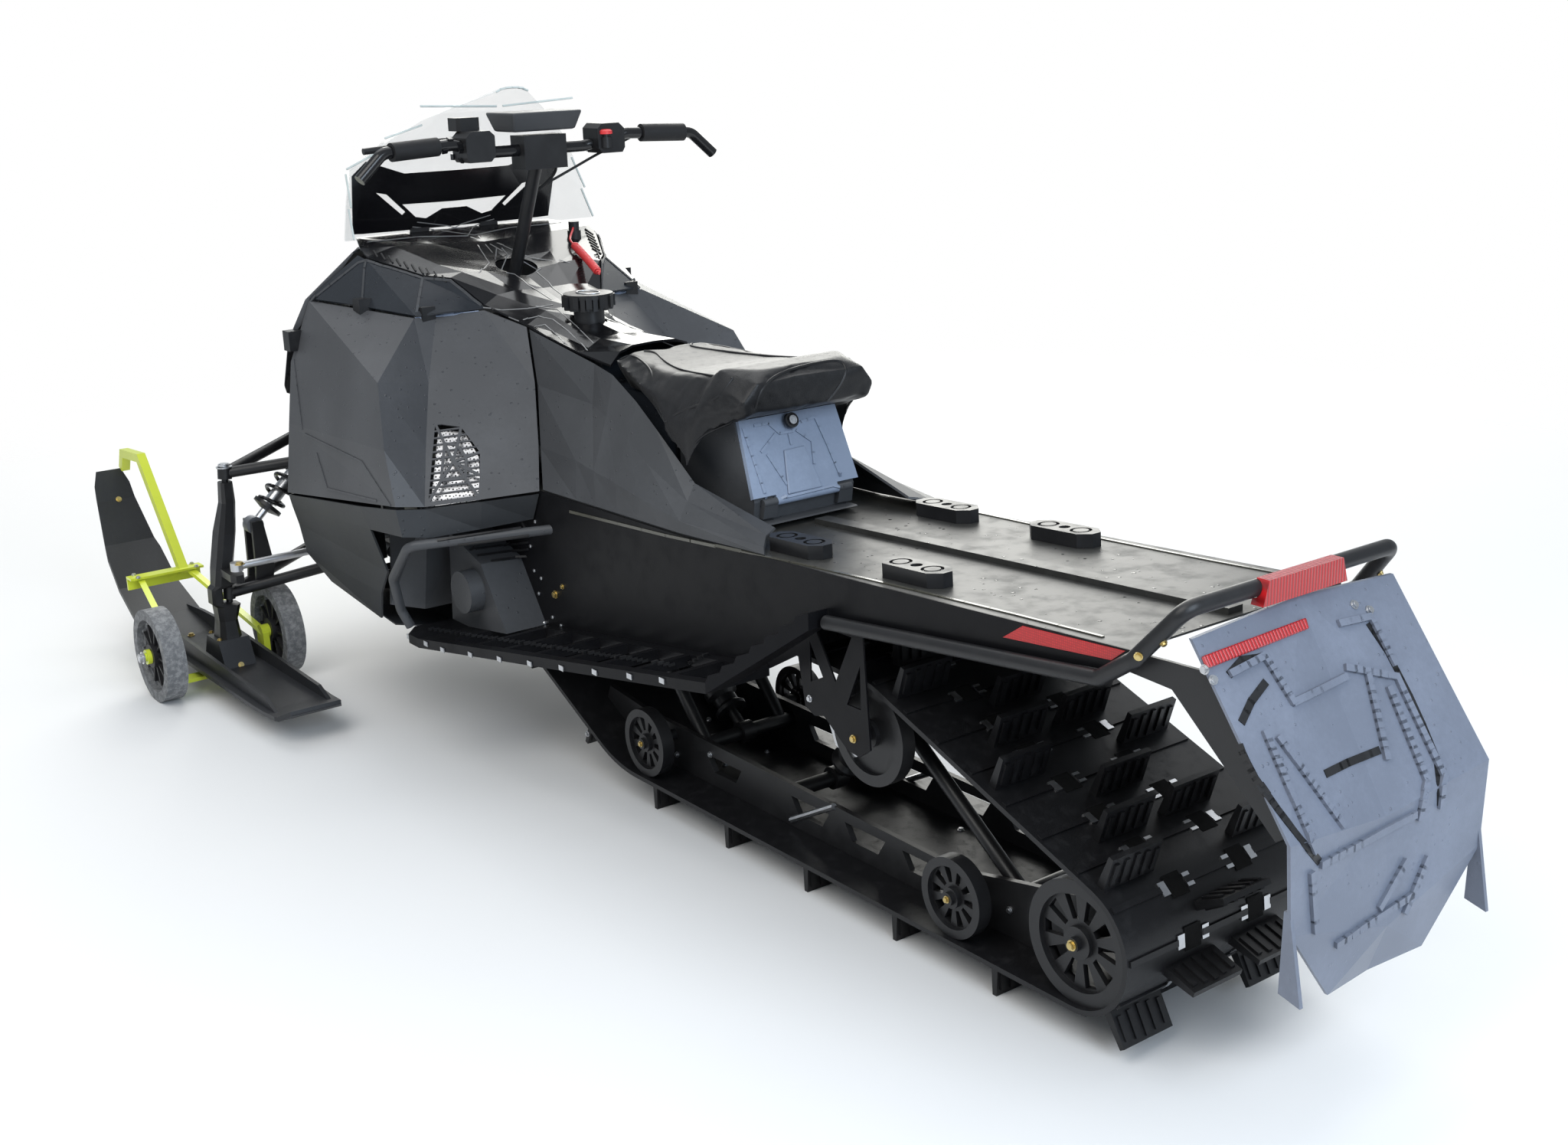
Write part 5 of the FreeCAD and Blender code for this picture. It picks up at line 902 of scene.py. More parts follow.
# %% Bolts and lens of the flap
FLAP_BOLTS = ((1574, 874), (1584, 888), (1768, 790), (1788, 797))
TAIL_LENS = ((1575, 874), (1706, 822), (1702, 808), (1568, 858))
stamp(bolt, "flap_bolts", [facing(*seen_on(flap_face, *spot), size=(9, 9, 9)) for spot in FLAP_BOLTS],
      "chassis", zinc)
cut_plate("tail_lens", spots_on(flap_face, TAIL_LENS), 7.0, -0.5, "chassis", red_lens, bevel=1.5)
print("flap bolts:", len(FLAP_BOLTS))

# %% [markdown]
# ## The track
# The belt is rubber over cords, with a window in each pitch for the drive teeth
# and a bright steel clip beside it that guards the rubber. The lugs are fluted so that they dig in.
# The loop goes round four circles, so a clip's place is a distance walked round that loop.

# %% The belt's line
BELT_CIRCLES = ((0.0, 150.0, 98.0), (1075.0, 320.0, 268.0), (1510.0, 348.0, 96.0), (430.0, 322.0, 89.0))
LUG_ROWS = 51
leaving = []
for (x0, z0, r0), (x1, z1, r1) in zip(BELT_CIRCLES, BELT_CIRCLES[1:] + BELT_CIRCLES[:1]):
    leaving.append(math.atan2(z1 - z0, x1 - x0) - math.acos((r0 - r1) / math.hypot(x1 - x0, z1 - z0)))
belt_runs = []
for k, (x, z, radius) in enumerate(BELT_CIRCLES):
    turn = (leaving[k] - leaving[k - 1]) % (2 * math.pi)
    following = BELT_CIRCLES[(k + 1) % len(BELT_CIRCLES)]
    start = (x + radius * math.cos(leaving[k]), z + radius * math.sin(leaving[k]))
    end = (following[0] + following[2] * math.cos(leaving[k]), following[1] + following[2] * math.sin(leaving[k]))
    belt_runs.append(("arc", radius * turn, (x, z, radius, leaving[k - 1])))
    belt_runs.append(("run", math.dist(start, end), (start, end, leaving[k])))
BELT_LENGTH = sum(run[1] for run in belt_runs)
pitch = BELT_LENGTH / LUG_ROWS
print("the belt is", round(BELT_LENGTH), "mm round, a pitch is", round(pitch, 1))

# %% [markdown]
# An array along a curve could carry the clips, but it bends what it copies.
# Walking the loop instead gives each clip a stiff frame of its own, its Z pointing out of the belt.

# %% Walking round the belt
def belt_place(distance):
    """Station, height and outward angle on the belt's outside, a distance round the loop."""
    distance %= BELT_LENGTH
    for kind, length, facts in belt_runs:
        if distance > length:
            distance -= length
        elif kind == "arc":
            x, z, radius, arrive = facts
            angle = arrive + distance / radius
            return x + radius * math.cos(angle), z + radius * math.sin(angle), angle
        else:
            start, end, angle = facts
            share = distance / length
            return start[0] + (end[0] - start[0]) * share, start[1] + (end[1] - start[1]) * share, angle


def belt_directions(angle):
    """Outwards and onwards at an angle of the loop."""
    return Vector((math.cos(angle), 0, math.sin(angle))), Vector((-math.sin(angle), 0, math.cos(angle)))


def on_belt(distance, left, size):
    x, z, angle = belt_place(distance)
    out, onwards = belt_directions(angle)
    return facing(place(x, left, z), out, onwards, size)


print("half way round the belt is station", round(belt_place(BELT_LENGTH / 2)[0]))

# %% [markdown]
# All three are raised bars of different sizes, half a pitch away from the lugs. The window is not cut:
# a thin, nearly black bar paints the shade seen through the opening, and the rigid belt stays whole.

# %% Clips, windows and cross ribs
WINDOW_LEFTS, CLIP_SHIFT, RIB_LEFTS = (-64, 64), 24, (0, -140, 140)
CLIP_SIZE, WINDOW_SIZE, CROSS_RIB_SIZE = (20, 13, 2.2), (34, 32, 0.7), (9, 92, 3.0)
clips, windows, cross_ribs = [], [], []
for row in range(LUG_ROWS):
    between_lugs = (row + 0.5) * pitch
    for left in WINDOW_LEFTS:
        clips.append(on_belt(between_lugs, left + CLIP_SHIFT, CLIP_SIZE))
        clips.append(on_belt(between_lugs, left - CLIP_SHIFT, CLIP_SIZE))
        windows.append(on_belt(between_lugs, left, WINDOW_SIZE))
    for left in RIB_LEFTS:
        cross_ribs.append(on_belt(between_lugs, left, CROSS_RIB_SIZE))
# The windows are painted shade: a nearly black bar where the opening would be.
window_painted_shade = black_rubber("window_shadow", (0.002, 0.002, 0.002), 0.9, scuff=0.0)
stamp(bar, "track_clips", clips, "chassis", zinc)
stamp(bar, "track_windows", windows, "chassis", window_painted_shade)
stamp(bar, "track_ribs", cross_ribs, "chassis", track_rubber)
print("clips:", len(clips), "windows:", len(windows))

# %% [markdown]
# Each lug stands as a paddle with flutes down both faces. The lugs are in the rigid belt already,
# in rows that shift sideways, so the flutes only need each lug's middle and the lean of its faces.

# %% Flutes on the lugs
LUG_TALL, LUG_ROOT, LUG_TIP = 52.0, 14.0, 8.0
LUG_PATTERN = ((-128.0, 128.0), (0.0,), (-66.0, 66.0))
FLUTE_SHIFTS, FLUTE_SINK = (-38, -19, 0, 19, 38), 0.4
flutes = []
lean = math.atan2((LUG_ROOT - LUG_TIP) / 2, LUG_TALL)
for row in range(LUG_ROWS):
    x, z, angle = belt_place(row * pitch)
    out, onwards = belt_directions(angle)
    for centre in LUG_PATTERN[row % len(LUG_PATTERN)]:
        for face in (-1, 1):
            normal = onwards * face * math.cos(lean) + out * math.sin(lean)
            middle = out * LUG_TALL * 0.5 + onwards * face * (LUG_ROOT + LUG_TIP) / 4
            for shift in FLUTE_SHIFTS:
                foot = place(x, centre + shift, z) + middle * MM - normal * FLUTE_SINK * MM
                flutes.append(facing(foot, normal, out, (44 - abs(shift) * 0.25, 8, 3.6)))
stamp(bar, "lug_flutes", flutes, "chassis", track_rubber)
print("flutes:", len(flutes))

# %% [markdown]
# ## Bolts of the skid and the tunnel
# Bolt heads are the small bright points that give a machine its scale. They sit where an axle ends
# or where a bracket is fixed, so most places are known from the wheels, and the rest from the picture.

# %% Wheel bolts and skid bolts
WHEEL_ENDS = ((0, 150, 11), (250, 122, 8), (1055, 122, 8), (430, 322, 9))
SKID_BOLTS = ((742, 958), (926, 940), (1058, 912), (885, 985), (1002, 982), (1255, 1084), (1319, 1188), (928, 985))
OUTSIDE_SKID, SKID_BOLT_SIZE, RIVET_SIZE = 400, 8, 4
skid_side = surface_of("skid_rails", "skid_arms", "bogie_wheels", "rear_idlers", "carrier_wheels", "skid_shocks",
                       "tunnel_sides", "running_boards", "track", "drive_sprockets")


def on_both_halves(surface, across, down, size):
    """Frames for a round part seen in the picture, and for its twin on the other half."""
    here = seen_on(surface, across, down)
    return [facing(*here, size=(size,) * 3), facing(*mirrored(here), size=(size,) * 3)]


ends = []
for station, height, size in WHEEL_ENDS:
    for side in (-1, 1):
        hit = skid_side.ray_cast(place(station, side * OUTSIDE_SKID, height), LEFT * -side)[0]
        if hit:
            ends.append(facing(hit, LEFT * side, size=(size,) * 3))
stamp(bolt, "wheel_bolts", ends, "chassis", gold_zinc, smooth=30)
skid_frames = [pose for spot in SKID_BOLTS for pose in on_both_halves(skid_side, *spot, SKID_BOLT_SIZE)]
stamp(bolt, "skid_bolts", skid_frames, "chassis", zinc, smooth=30)
print("wheel bolts:", len(ends), "skid bolts:", len(skid_frames))

# %% [markdown]
# A bright cut plate ties the carrier wheel's hub to the skid. Its outline is taken from the picture
# onto an upright plane through the hub, so the plate lies flat.

# %% The bright bracket on the carrier wheel
BRACKET = ((1086, 945), (1094, 972), (1112, 990), (1131, 985), (1128, 968), (1106, 950), (1098, 925), (1086, 903))
BRACKET_HUB, FAR_AWAY = (1110, 950), 9
hub = seen_on(surface_of("carrier_wheels"), *BRACKET_HUB)[0]
plane_corners = [Vector((x, hub.y, z)) for x, z in ((-FAR_AWAY, -FAR_AWAY), (FAR_AWAY, -FAR_AWAY),
                                                    (FAR_AWAY, FAR_AWAY), (-FAR_AWAY, FAR_AWAY))]
bracket_corners = spots_on(BVHTree.FromPolygons(plane_corners, [(0, 1, 2, 3)]), BRACKET)
cut_plate("carrier_bracket_left", bracket_corners, 3.0, 1.0, "chassis", zinc)
cut_plate("carrier_bracket_right", [mirror(c) for c in reversed(bracket_corners)], 3.0, 1.0, "chassis", zinc)
print("the carrier bracket stands", round(hub.y / MM), "mm to the left")

# %% [markdown]
# ## Reflectors, rivets and the board's teeth
# Red tape marks the tail's corners. The tunnel's front is riveted to the bulkhead,
# and the running board's hollow rungs end in bright cut edges on its rim.

# %% Reflecting tape
TAPE_CORNERS = ((1310, 832), (1452, 862), (1470, 850), (1336, 817))
tape = Finish("red_reflector", Roughness=0.30, Coat_Weight=0.15)
honeycomb = tape.cells(3.4, 0.15)
tape.feed(Base_Color=tape.between(tape.step(honeycomb, 0.2, 0.6), (0.62, 0.012, 0.014), (0.36, 0.006, 0.008)),
          Normal=tape.bump(honeycomb, 0.12))
tunnel_face = surface_of("tunnel_sides", "tunnel_top")
tape_spots = spots_on(tunnel_face, TAPE_CORNERS)
outermost = max(spot.y for spot in tape_spots)
left_tape = [Vector((spot.x, outermost, spot.z)) for spot in tape_spots]
cut_plate("side_reflector_left", left_tape, 0.8, -0.1, "chassis", tape.material, bevel=0.2)
cut_plate("side_reflector_right", [mirror(c) for c in reversed(left_tape)], 0.8, -0.1, "chassis",
          tape.material, bevel=0.2)
print("the tape is", round((left_tape[1] - left_tape[0]).length / MM), "mm long")

# %% [markdown]
# Rivets are small and many, so their heads have only ten sides.
# The few gold heads are flange bolts, each with its own size.

# %% Rivets and gold bolts of the tunnel
TUNNEL_RIVETS = ((699, 681), (693, 713), (698, 745), (707, 755), (704, 775), (712, 813), (722, 806), (733, 817))
TUNNEL_BOLTS = ((726, 776, 11), (735, 766, 7), (1487, 857, 8), (1525, 842, 7))
tail_face = surface_of("tunnel_sides", "rear_bumper", "flap_struts", "running_boards", "tunnel_top", "footwells",
                       "belly_panel_left", "side_panel_left", "fairings", "storage_door", "storage_box", "upper_cowls")
rivet_frames = [pose for spot in TUNNEL_RIVETS for pose in on_both_halves(tail_face, *spot, RIVET_SIZE)]
stamp(rivet, "tunnel_rivets", rivet_frames, "chassis", zinc, smooth=40)
gold_frames = [pose for spot in TUNNEL_BOLTS for pose in on_both_halves(tail_face, *spot)]
stamp(bolt, "tunnel_bolts", gold_frames, "chassis", gold_zinc, smooth=30)
print("rivets:", len(rivet_frames), "gold bolts:", len(gold_frames))

# %% [markdown]
# The running board is cut open so that snow falls through. Its rungs end on the rim in bright cut
# tube ends, and small teeth along the rim keep a boot from sliding.

# %% The board's rung ends and teeth
RUNG_ENDS = ((550, 823), (584, 829), (618, 834), (654, 840), (690, 846), (728, 852), (768, 858), (808, 864),
             (850, 870), (894, 875))
RUNG_DROP, OUTSIDE_BOARD, RUNG_SIZE, TOOTH_SIZE = 7, 600, (14, 9, 2.0), (5, 12, 5)
TEETH_ROWS = (((560, 822), (880, 870), 46), ((900, 868), (1060, 786), 26))
board_face = surface_of("running_boards")
rung_frames = []
for spot in spots_on(board_face, RUNG_ENDS):
    rim = board_face.ray_cast(Vector((spot.x, OUTSIDE_BOARD * MM, spot.z - RUNG_DROP * MM)), -LEFT)[0]
    for _, s in SIDES:
        if rim:
            rung_frames.append(facing(Vector((rim.x, s * rim.y, rim.z)), LEFT * s, AHEAD, RUNG_SIZE))
stamp(bar, "rung_ends", rung_frames, "chassis", zinc)
teeth = []
for (across_a, down_a), (across_b, down_b), count in TEETH_ROWS:
    for k in range(count):
        share = (k + 0.5) / count
        aim = picture_ray(across_a + (across_b - across_a) * share, down_a + (down_b - down_a) * share)
        found = board_face.ray_cast(CAMERA_PLACE, aim)[0]
        for _, s in SIDES:
            if found:
                teeth.append(facing(Vector((found.x, s * found.y, found.z)), UP, AHEAD, TOOTH_SIZE))
stamp(bar, "board_teeth", teeth, "chassis", frame_paint)
print("rung ends:", len(rung_frames), "teeth:", len(teeth))

# %% [markdown]
# ## The seat
# The seat is a vinyl cover stretched over foam. The rigid model holds a closed block in its place.
# A voxel remesh turns a copy of that block into even squares, a short cloth simulation with pressure
# fills it, and no point may move further than a cap, so the cover stays in its space.

# %% The cover's even squares
COVER_VOXEL, COVER_SHRINK, COVER_CAP = 6.0 * MM, 4.0 * MM, 9.0 * MM
cover = bpy.data.objects.new("seat_cover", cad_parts["seat_cushion"].data.copy())
bpy.context.collection.objects.link(cover)
select_only(cover)
bpy.ops.object.mode_set(mode="EDIT")
bpy.ops.mesh.select_all(action="SELECT")
bpy.ops.mesh.remove_doubles(threshold=0.05 * MM)
bpy.ops.mesh.normals_make_consistent(inside=False)
bpy.ops.object.mode_set(mode="OBJECT")
squares = cover.modifiers.new("squares", "REMESH")
squares.mode, squares.voxel_size = "VOXEL", COVER_VOXEL
bpy.ops.object.modifier_apply(modifier="squares")
relaxed = cover.modifiers.new("relaxed", "SMOOTH")
relaxed.factor, relaxed.iterations = 0.5, 6
bpy.ops.object.modifier_apply(modifier="relaxed")
for vertex, normal in zip(cover.data.vertices, [v.normal.copy() for v in cover.data.vertices]):
    vertex.co -= normal * COVER_SHRINK
print("the remeshed cover has", len(cover.data.polygons), "squares")

# %% [markdown]
# Pressure then swells the cover over its foam. The simulation could creep past the rigid seat,
# so each point is held to a cap from where it started.

# %% Filling the cover
FOAM_STEPS, FOAM_QUALITY, FOAM_PRESSURE = 20, 5, 4.0
still = [vertex.co.copy() for vertex in cover.data.vertices]
foam = cover.modifiers.new("foam", "CLOTH")
foam.settings.quality = FOAM_QUALITY
foam.settings.use_pressure = True
foam.settings.uniform_pressure_force = FOAM_PRESSURE
foam.settings.effector_weights.gravity = 0.0
for step in range(1, FOAM_STEPS + 1):
    bpy.context.scene.frame_set(step)
bpy.ops.object.modifier_apply(modifier="foam")
bpy.context.scene.frame_set(1)
for vertex, start in zip(cover.data.vertices, still):
    move = vertex.co - start
    if move.length > COVER_CAP:
        vertex.co = start + move.normalized() * COVER_CAP
finer = cover.modifiers.new("finer", "SUBSURF")
finer.levels = finer.render_levels = 1
settle(cover, "chassis", top_vinyl)
for polygon in cover.data.polygons:
    polygon.use_smooth = True
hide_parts("seat_cushion")
print("the cover has", len(cover.data.polygons), "faces")

# %% [markdown]
# Piping is a cord sewn into the seams. It is laid on the finished cover, along the seams that show
# in the picture, as a thin bent tube that is half sunk in the vinyl.

# %% Piping
SEAT_PIPING = (
    ((779, 455), (800, 457), (825, 462), (845, 476), (853, 490), (853, 520), (855, 540), (863, 551)),
    ((863, 551), (880, 541), (905, 531), (930, 524), (945, 512), (957, 494)),
    ((838, 451), (855, 458), (866, 470), (885, 482), (920, 489), (957, 494)),
    ((882, 592), (905, 583), (930, 569), (958, 555)))
REAR_PIPING = ((987, 533), (990, 518), (1000, 501), (1015, 489), (1040, 480), (1070, 473), (1094, 470), (1104, 476),
               (1105, 487), (1094, 508), (1080, 524))
SIDE_PIPING_RADIUS, REAR_PIPING_RADIUS = 2.1, 2.6
seat_skin = BVHTree.FromPolygons([vertex.co.copy() for vertex in cover.data.vertices],
                                 [tuple(polygon.vertices) for polygon in cover.data.polygons])
for number, row in enumerate(SEAT_PIPING):
    seam = spots_on(seat_skin, row)
    for side, points in (("left", seam), ("right", [mirror(spot) for spot in seam])):
        bent_tube("seat_piping_%s_%d" % (side, number), points, SIDE_PIPING_RADIUS, "chassis",
                  piping_vinyl)
bent_tube("seat_piping_rear", spots_on(seat_skin, REAR_PIPING), REAR_PIPING_RADIUS, "chassis",
          piping_vinyl)
print("piping rows:", len(SEAT_PIPING) * 2 + 1)

# %% [markdown]
# ## The storage door
# The door's moulded face has ribs, a raised middle and a round key latch in a dark recess.
# These ride on the door, so they swing with it.

# %% Door face
DOOR_RIBS = (
    ((970, 560), (1002, 655)), ((1064, 545), (1080, 580), (1100, 628)),
    ((985, 556), (1003, 553), (1018, 566), (1034, 563), (1045, 551), (1062, 545)),
    ((1012, 567), (994, 590)), ((1040, 562), (1060, 576), (1063, 605)), ((1002, 594), (1027, 632)),
    ((1030, 567), (1033, 580)), ((1003, 655), (1100, 632)))
DOOR_MIDDLE = ((1029, 646), (1073, 636), (1049, 582), (1023, 588))
door_face = surface_of("storage_door")
stamp(bar, "door_ribs", picture_lines(door_face, DOOR_RIBS, 4.5, 2.2), "door", door_plastic_painted_sky)
cut_plate("door_middle", spots_on(door_face, DOOR_MIDDLE), 4.5, -0.2, "door", door_plastic_painted_sky, bevel=1.5)
print("door ribs:", len(DOOR_RIBS))

# %% [markdown]
# The latch is a dark cup with a bright key barrel in it. Both are cylinders whose top face is inset
# and then pushed down or pulled up, ring by ring, as it would be turned on a lathe.

# %% The door's latch
LATCH_SEEN, LATCH_RISE = (1034, 556), 9
latch_spot, latch_normal = seen_on(door_face, *LATCH_SEEN)
latch_up = UP - latch_normal * latch_normal.z
latch_spot = latch_spot + latch_up.normalized() * LATCH_RISE * MM
latch_frame = [facing(latch_spot, latch_normal)]
latch = begin("latch_cup", bpy.ops.mesh.primitive_cylinder_add, vertices=24, radius=13.0, depth=6.0,
              location=(0, 0, 3.0))
pick_top(latch)
bpy.ops.mesh.inset(thickness=3.0)
raise_picked(-3.5)
stamp_and_clear(latch, "door_latch_cup", latch_frame, "door", frame_paint)
barrel = begin("latch_barrel", bpy.ops.mesh.primitive_cylinder_add, vertices=24, radius=7.5, depth=9.0,
               location=(0, 0, 4.5))
pick_top(barrel)
bpy.ops.mesh.inset(thickness=1.6)
raise_picked(-1.2)
bpy.ops.mesh.inset(thickness=3.4)
raise_picked(1.0)
stamp_and_clear(barrel, "door_latch_barrel", latch_frame, "door", zinc)
print("the latch is", round(latch_spot.z / MM), "mm above the floor")

# %% [markdown]
# ## Console, cowls and panel lines
# Gloss black shows its facets only along their edges, which catch the light as thin pale lines. Those lines are painted
# highlights: pale raised bars along the facet edges.
# The side panel has a raised lip round its vent, and bright mesh shows behind the web.

# %% Edge lines
CONSOLE_LINES = (
    ((480, 316), (548, 309), (611, 308), (618, 297)), ((545, 290), (606, 297), (645, 286)),
    ((620, 314), (639, 344), (620, 362)), ((625, 309), (652, 340), (690, 372), (720, 391)),
    ((632, 401), (655, 405), (690, 403), (722, 398)), ((665, 422), (703, 413), (722, 417), (742, 432), (770, 460)),
    ((692, 428), (712, 424), (730, 440), (744, 454)), ((700, 400), (728, 404), (752, 425), (775, 448)))
COWL_LINES = (
    ((404, 394), (477, 336), (552, 363), (543, 413)), ((477, 338), (473, 398)), ((554, 363), (588, 364), (628, 394)))
PANEL_LINES = (((399, 567), (473, 603), (510, 660)), ((414, 592), (428, 638), (492, 654)), ((384, 470), (395, 560)))
# The bright strip on the cowl is a painted highlight, drawn in the door's pale blue colour.
PAINTED_HIGHLIGHT_STRIP = (((544, 414), (624, 406)),)
CONSOLE_TICKS = tuple(((488 + 10 * k, 328 + 3.6 * k), (493 + 10 * k, 336 + 3.6 * k)) for k in range(10))
dash_face = surface_of("console", "fuel_tank", "dash_wing", "fairings", "upper_cowls")
cowl_face = surface_of("upper_cowls", "side_panel_left")
panel_face = surface_of("side_panel_left", "belly_panel_left")
# Pale colour for the console's edge lines: a painted highlight.
painted_edge_highlight = grained_plastic("painted_edge_highlight", (0.20, 0.20, 0.20), 0.22, relief=0.01, coat=0.5)
LINES_DRAWN = (
    ("console_lines", dash_face, CONSOLE_LINES, 1.8, 0.8, painted_edge_highlight, "gloss_black"),
    ("cowl_frames", cowl_face, COWL_LINES, 5.0, 1.4, fairing_plastic, "smoke_black"),
    ("panel_lips", panel_face, PANEL_LINES, 4.0, 1.6, charcoal, "matte_charcoal"),
    ("cowl_highlight_strip", cowl_face, PAINTED_HIGHLIGHT_STRIP, 7.0, 1.0, door_plastic_painted_sky, "smoke_black"),
    ("console_louvres", dash_face, CONSOLE_TICKS, 3.0, 2.2, frame_paint, "gloss_black"))
for name, surface, rows, width, height, finish, slot in LINES_DRAWN:
    stamp(bar, name, picture_lines(surface, rows, width, height, both_sides=True), "chassis", finish)
print("lines drawn on the console, cowls and panels:", len(LINES_DRAWN))

# %% [markdown]
# The mesh could be woven from wires, but behind the web only its glint shows. A flat plate with
# a square cell pattern does it: bright wire between holes painted dark as the shade behind them, sunk in the bump.

# %% Mesh behind the vent
VENT_CORNER, VENT_ALONG = place(1425, 387, 524), Vector((-0.514, -0.854, 0.083))
VENT_UP, VENT_OUT, VENT_DEPTH = Vector((0.632, -0.312, 0.710)), Vector((-0.580, 0.417, 0.700)), 16
MESH_OUTLINE = ((8, 8), (100, 8), (104, 100), (82, 158), (34, 172))
mesh_steel = Finish("vent_mesh_steel", Metallic=1.0)
holes = mesh_steel.cells(5.0, 0.0)
open_hole = mesh_steel.step(0.36 - holes, 0.0, 0.05)
# The holes' near-black colour is painted shade of the space behind the mesh.
mesh_steel.feed(Base_Color=mesh_steel.between(open_hole, (0.78, 0.78, 0.80), (0.05, 0.05, 0.05)),
                Roughness=0.3 + open_hole * 0.4, Normal=mesh_steel.bump(1 - open_hole, 0.4))
backing = [VENT_CORNER + (VENT_ALONG * a + VENT_UP * b - VENT_OUT * VENT_DEPTH) * MM for a, b in MESH_OUTLINE]
cut_plate("vent_mesh_left", backing, 1.0, 0.0, "chassis", mesh_steel.material)
cut_plate("vent_mesh_right", [mirror(c) for c in reversed(backing)], 1.0, 0.0, "chassis", mesh_steel.material)
print("vent mesh is", round((backing[1] - backing[0]).length / MM), "mm wide")

# %% [markdown]
# ## The bar
# The left pod carries blank square buttons. A red stop button sits on the right bar,
# and two cables run to the post, from the throttle and from under the pad. Both ends of each are on the bar,
# so they turn with it.

# %% Buttons of the left pod
POD_BUTTONS, POD_BUTTON_SIZE = ((581, 197), (603, 196), (585, 212), (603, 209), (588, 182)), (11, 11, 3)
bar_face = surface_of("controls", "handlebar", "grips", "bar_pad", "steering_post")
stamp(bar, "pod_buttons", [facing(*seen_on(bar_face, *spot), size=POD_BUTTON_SIZE) for spot in POD_BUTTONS],
      "bar", console_gloss)
print("pod buttons:", len(POD_BUTTONS))

# %% [markdown]
# The pad over the bar's middle is foam in a soft moulded cover, wide at its waist, narrower above and below.
# A cube of the rigid pad's size, lower than it, gets its slopes by resizing the top and bottom faces,
# and a rounded bevel makes it look soft. The tiny inset gives the top face edges of its own to move.

# %% The bar's pad
PAD_FOOT, PAD_HEIGHT, PAD_ROUNDING = 0.12, 0.62, 0.005
PAD_TOP_SHARE, PAD_UNDER_SHARE, TINY_INSET = (0.60, 0.74, 1.0), (0.70, 0.88, 1.0), 0.0001
rigid_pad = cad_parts["bar_pad"]
pad_points = [rigid_pad.matrix_world @ Vector(corner) for corner in rigid_pad.bound_box]
pad_low = Vector([min(point[i] for point in pad_points) for i in range(3)])
pad_high = Vector([max(point[i] for point in pad_points) for i in range(3)])
pad_size = pad_high - pad_low
pad_lift = (PAD_FOOT + PAD_HEIGHT / 2 - 0.5) * pad_size.z
pad_cover = begin("bar_pad_cover", bpy.ops.mesh.primitive_cube_add, size=1.0,
                  scale=(pad_size.x, pad_size.y, pad_size.z * PAD_HEIGHT),
                  location=(pad_low + pad_high) / 2 + UP * pad_lift)
bpy.ops.object.transform_apply(location=True, rotation=True, scale=True)
pick_top(pad_cover)
bpy.ops.mesh.inset(thickness=TINY_INSET)
bpy.ops.transform.resize(value=PAD_TOP_SHARE)
pick_faces(pad_cover, lambda centre, normal: normal.z < -0.9)
bpy.ops.transform.resize(value=PAD_UNDER_SHARE)
bpy.ops.object.mode_set(mode="OBJECT")
rounding = pad_cover.modifiers.new("soft_edges", "BEVEL")
rounding.width, rounding.segments, rounding.limit_method = PAD_ROUNDING, 3, "ANGLE"
settle(pad_cover, "bar", fairing_plastic, smooth=40)
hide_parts("bar_pad")
print("the pad is", [round(length / MM) for length in pad_size], "mm before it is lowered")

# %% [markdown]
# The stop button is a red mushroom on a black collar. A rider hits it with a gloved hand,
# so it is broad and domed: its top face is inset twice, and each ring is lifted a little more.

# %% The stop button
STOP_SEEN = (792, 190)
stop_frame = [facing(seen_on(bar_face, *STOP_SEEN)[0], UP)]
stop_collar = begin("stop_collar", bpy.ops.mesh.primitive_cylinder_add, vertices=20, radius=11.0, depth=20.0,
                    location=(0, 0, 6.0))
pick_top(stop_collar)
bpy.ops.mesh.inset(thickness=3.5)
raise_picked(6.0)
stamp_and_clear(stop_collar, "bar_stop_collar", stop_frame, "bar", frame_paint)
stop_top = begin("stop_top", bpy.ops.mesh.primitive_cylinder_add, vertices=24, radius=13.0, depth=6.0,
                 location=(0, 0, 25.0))
pick_top(stop_top)
bpy.ops.mesh.inset(thickness=2.0)
bpy.ops.transform.translate(value=(0, 0, 2.0))
bpy.ops.mesh.inset(thickness=4.0)
bpy.ops.transform.translate(value=(0, 0, 1.2))
stamp_and_clear(stop_top, "bar_stop_button", stop_frame, "bar", tether_red)
print("the stop button stands at", [round(v, 3) for v in stop_frame[0].translation])

# %% [markdown]
# The throttle cable and the pad's cable hang in short bows to the post, where they go inside it.
# Each stays a curve with a round bevel, and the length of its route is printed.

# %% Two cables
THROTTLE_ROUTE = (place(1592, -205, 1138), place(1600, -185, 1128), place(1618, -140, 1108), place(1632, -95, 1085),
                  place(1645, -48, 1062), place(1648, -14, 1048))
PAD_ROUTE = (place(1610, -22, 1110), place(1612, -42, 1098), place(1622, -46, 1080), place(1634, -34, 1062),
             place(1644, -15, 1046))
for name, route, radius in (("throttle_cable", THROTTLE_ROUTE, 2.6), ("pad_cable", PAD_ROUTE, 3.0)):
    line = nurbs_through(route, name)
    line.data.bevel_depth, line.data.bevel_resolution, line.data.use_fill_caps = radius * MM, 3, True
    line.data.materials.append(hose_rubber)
    _, length = read_line(route, name + "_length")
    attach(line, "bar")
    print(name, round(length, 3), "m")

# %% [markdown]
# ## The cap, the dolly's bolts and the arm's nuts
# The fuel cap has finger scallops and a bright ring. The dolly's axles end in zinc nuts,
# and each steering knuckle has a bright nut over its upper ball.

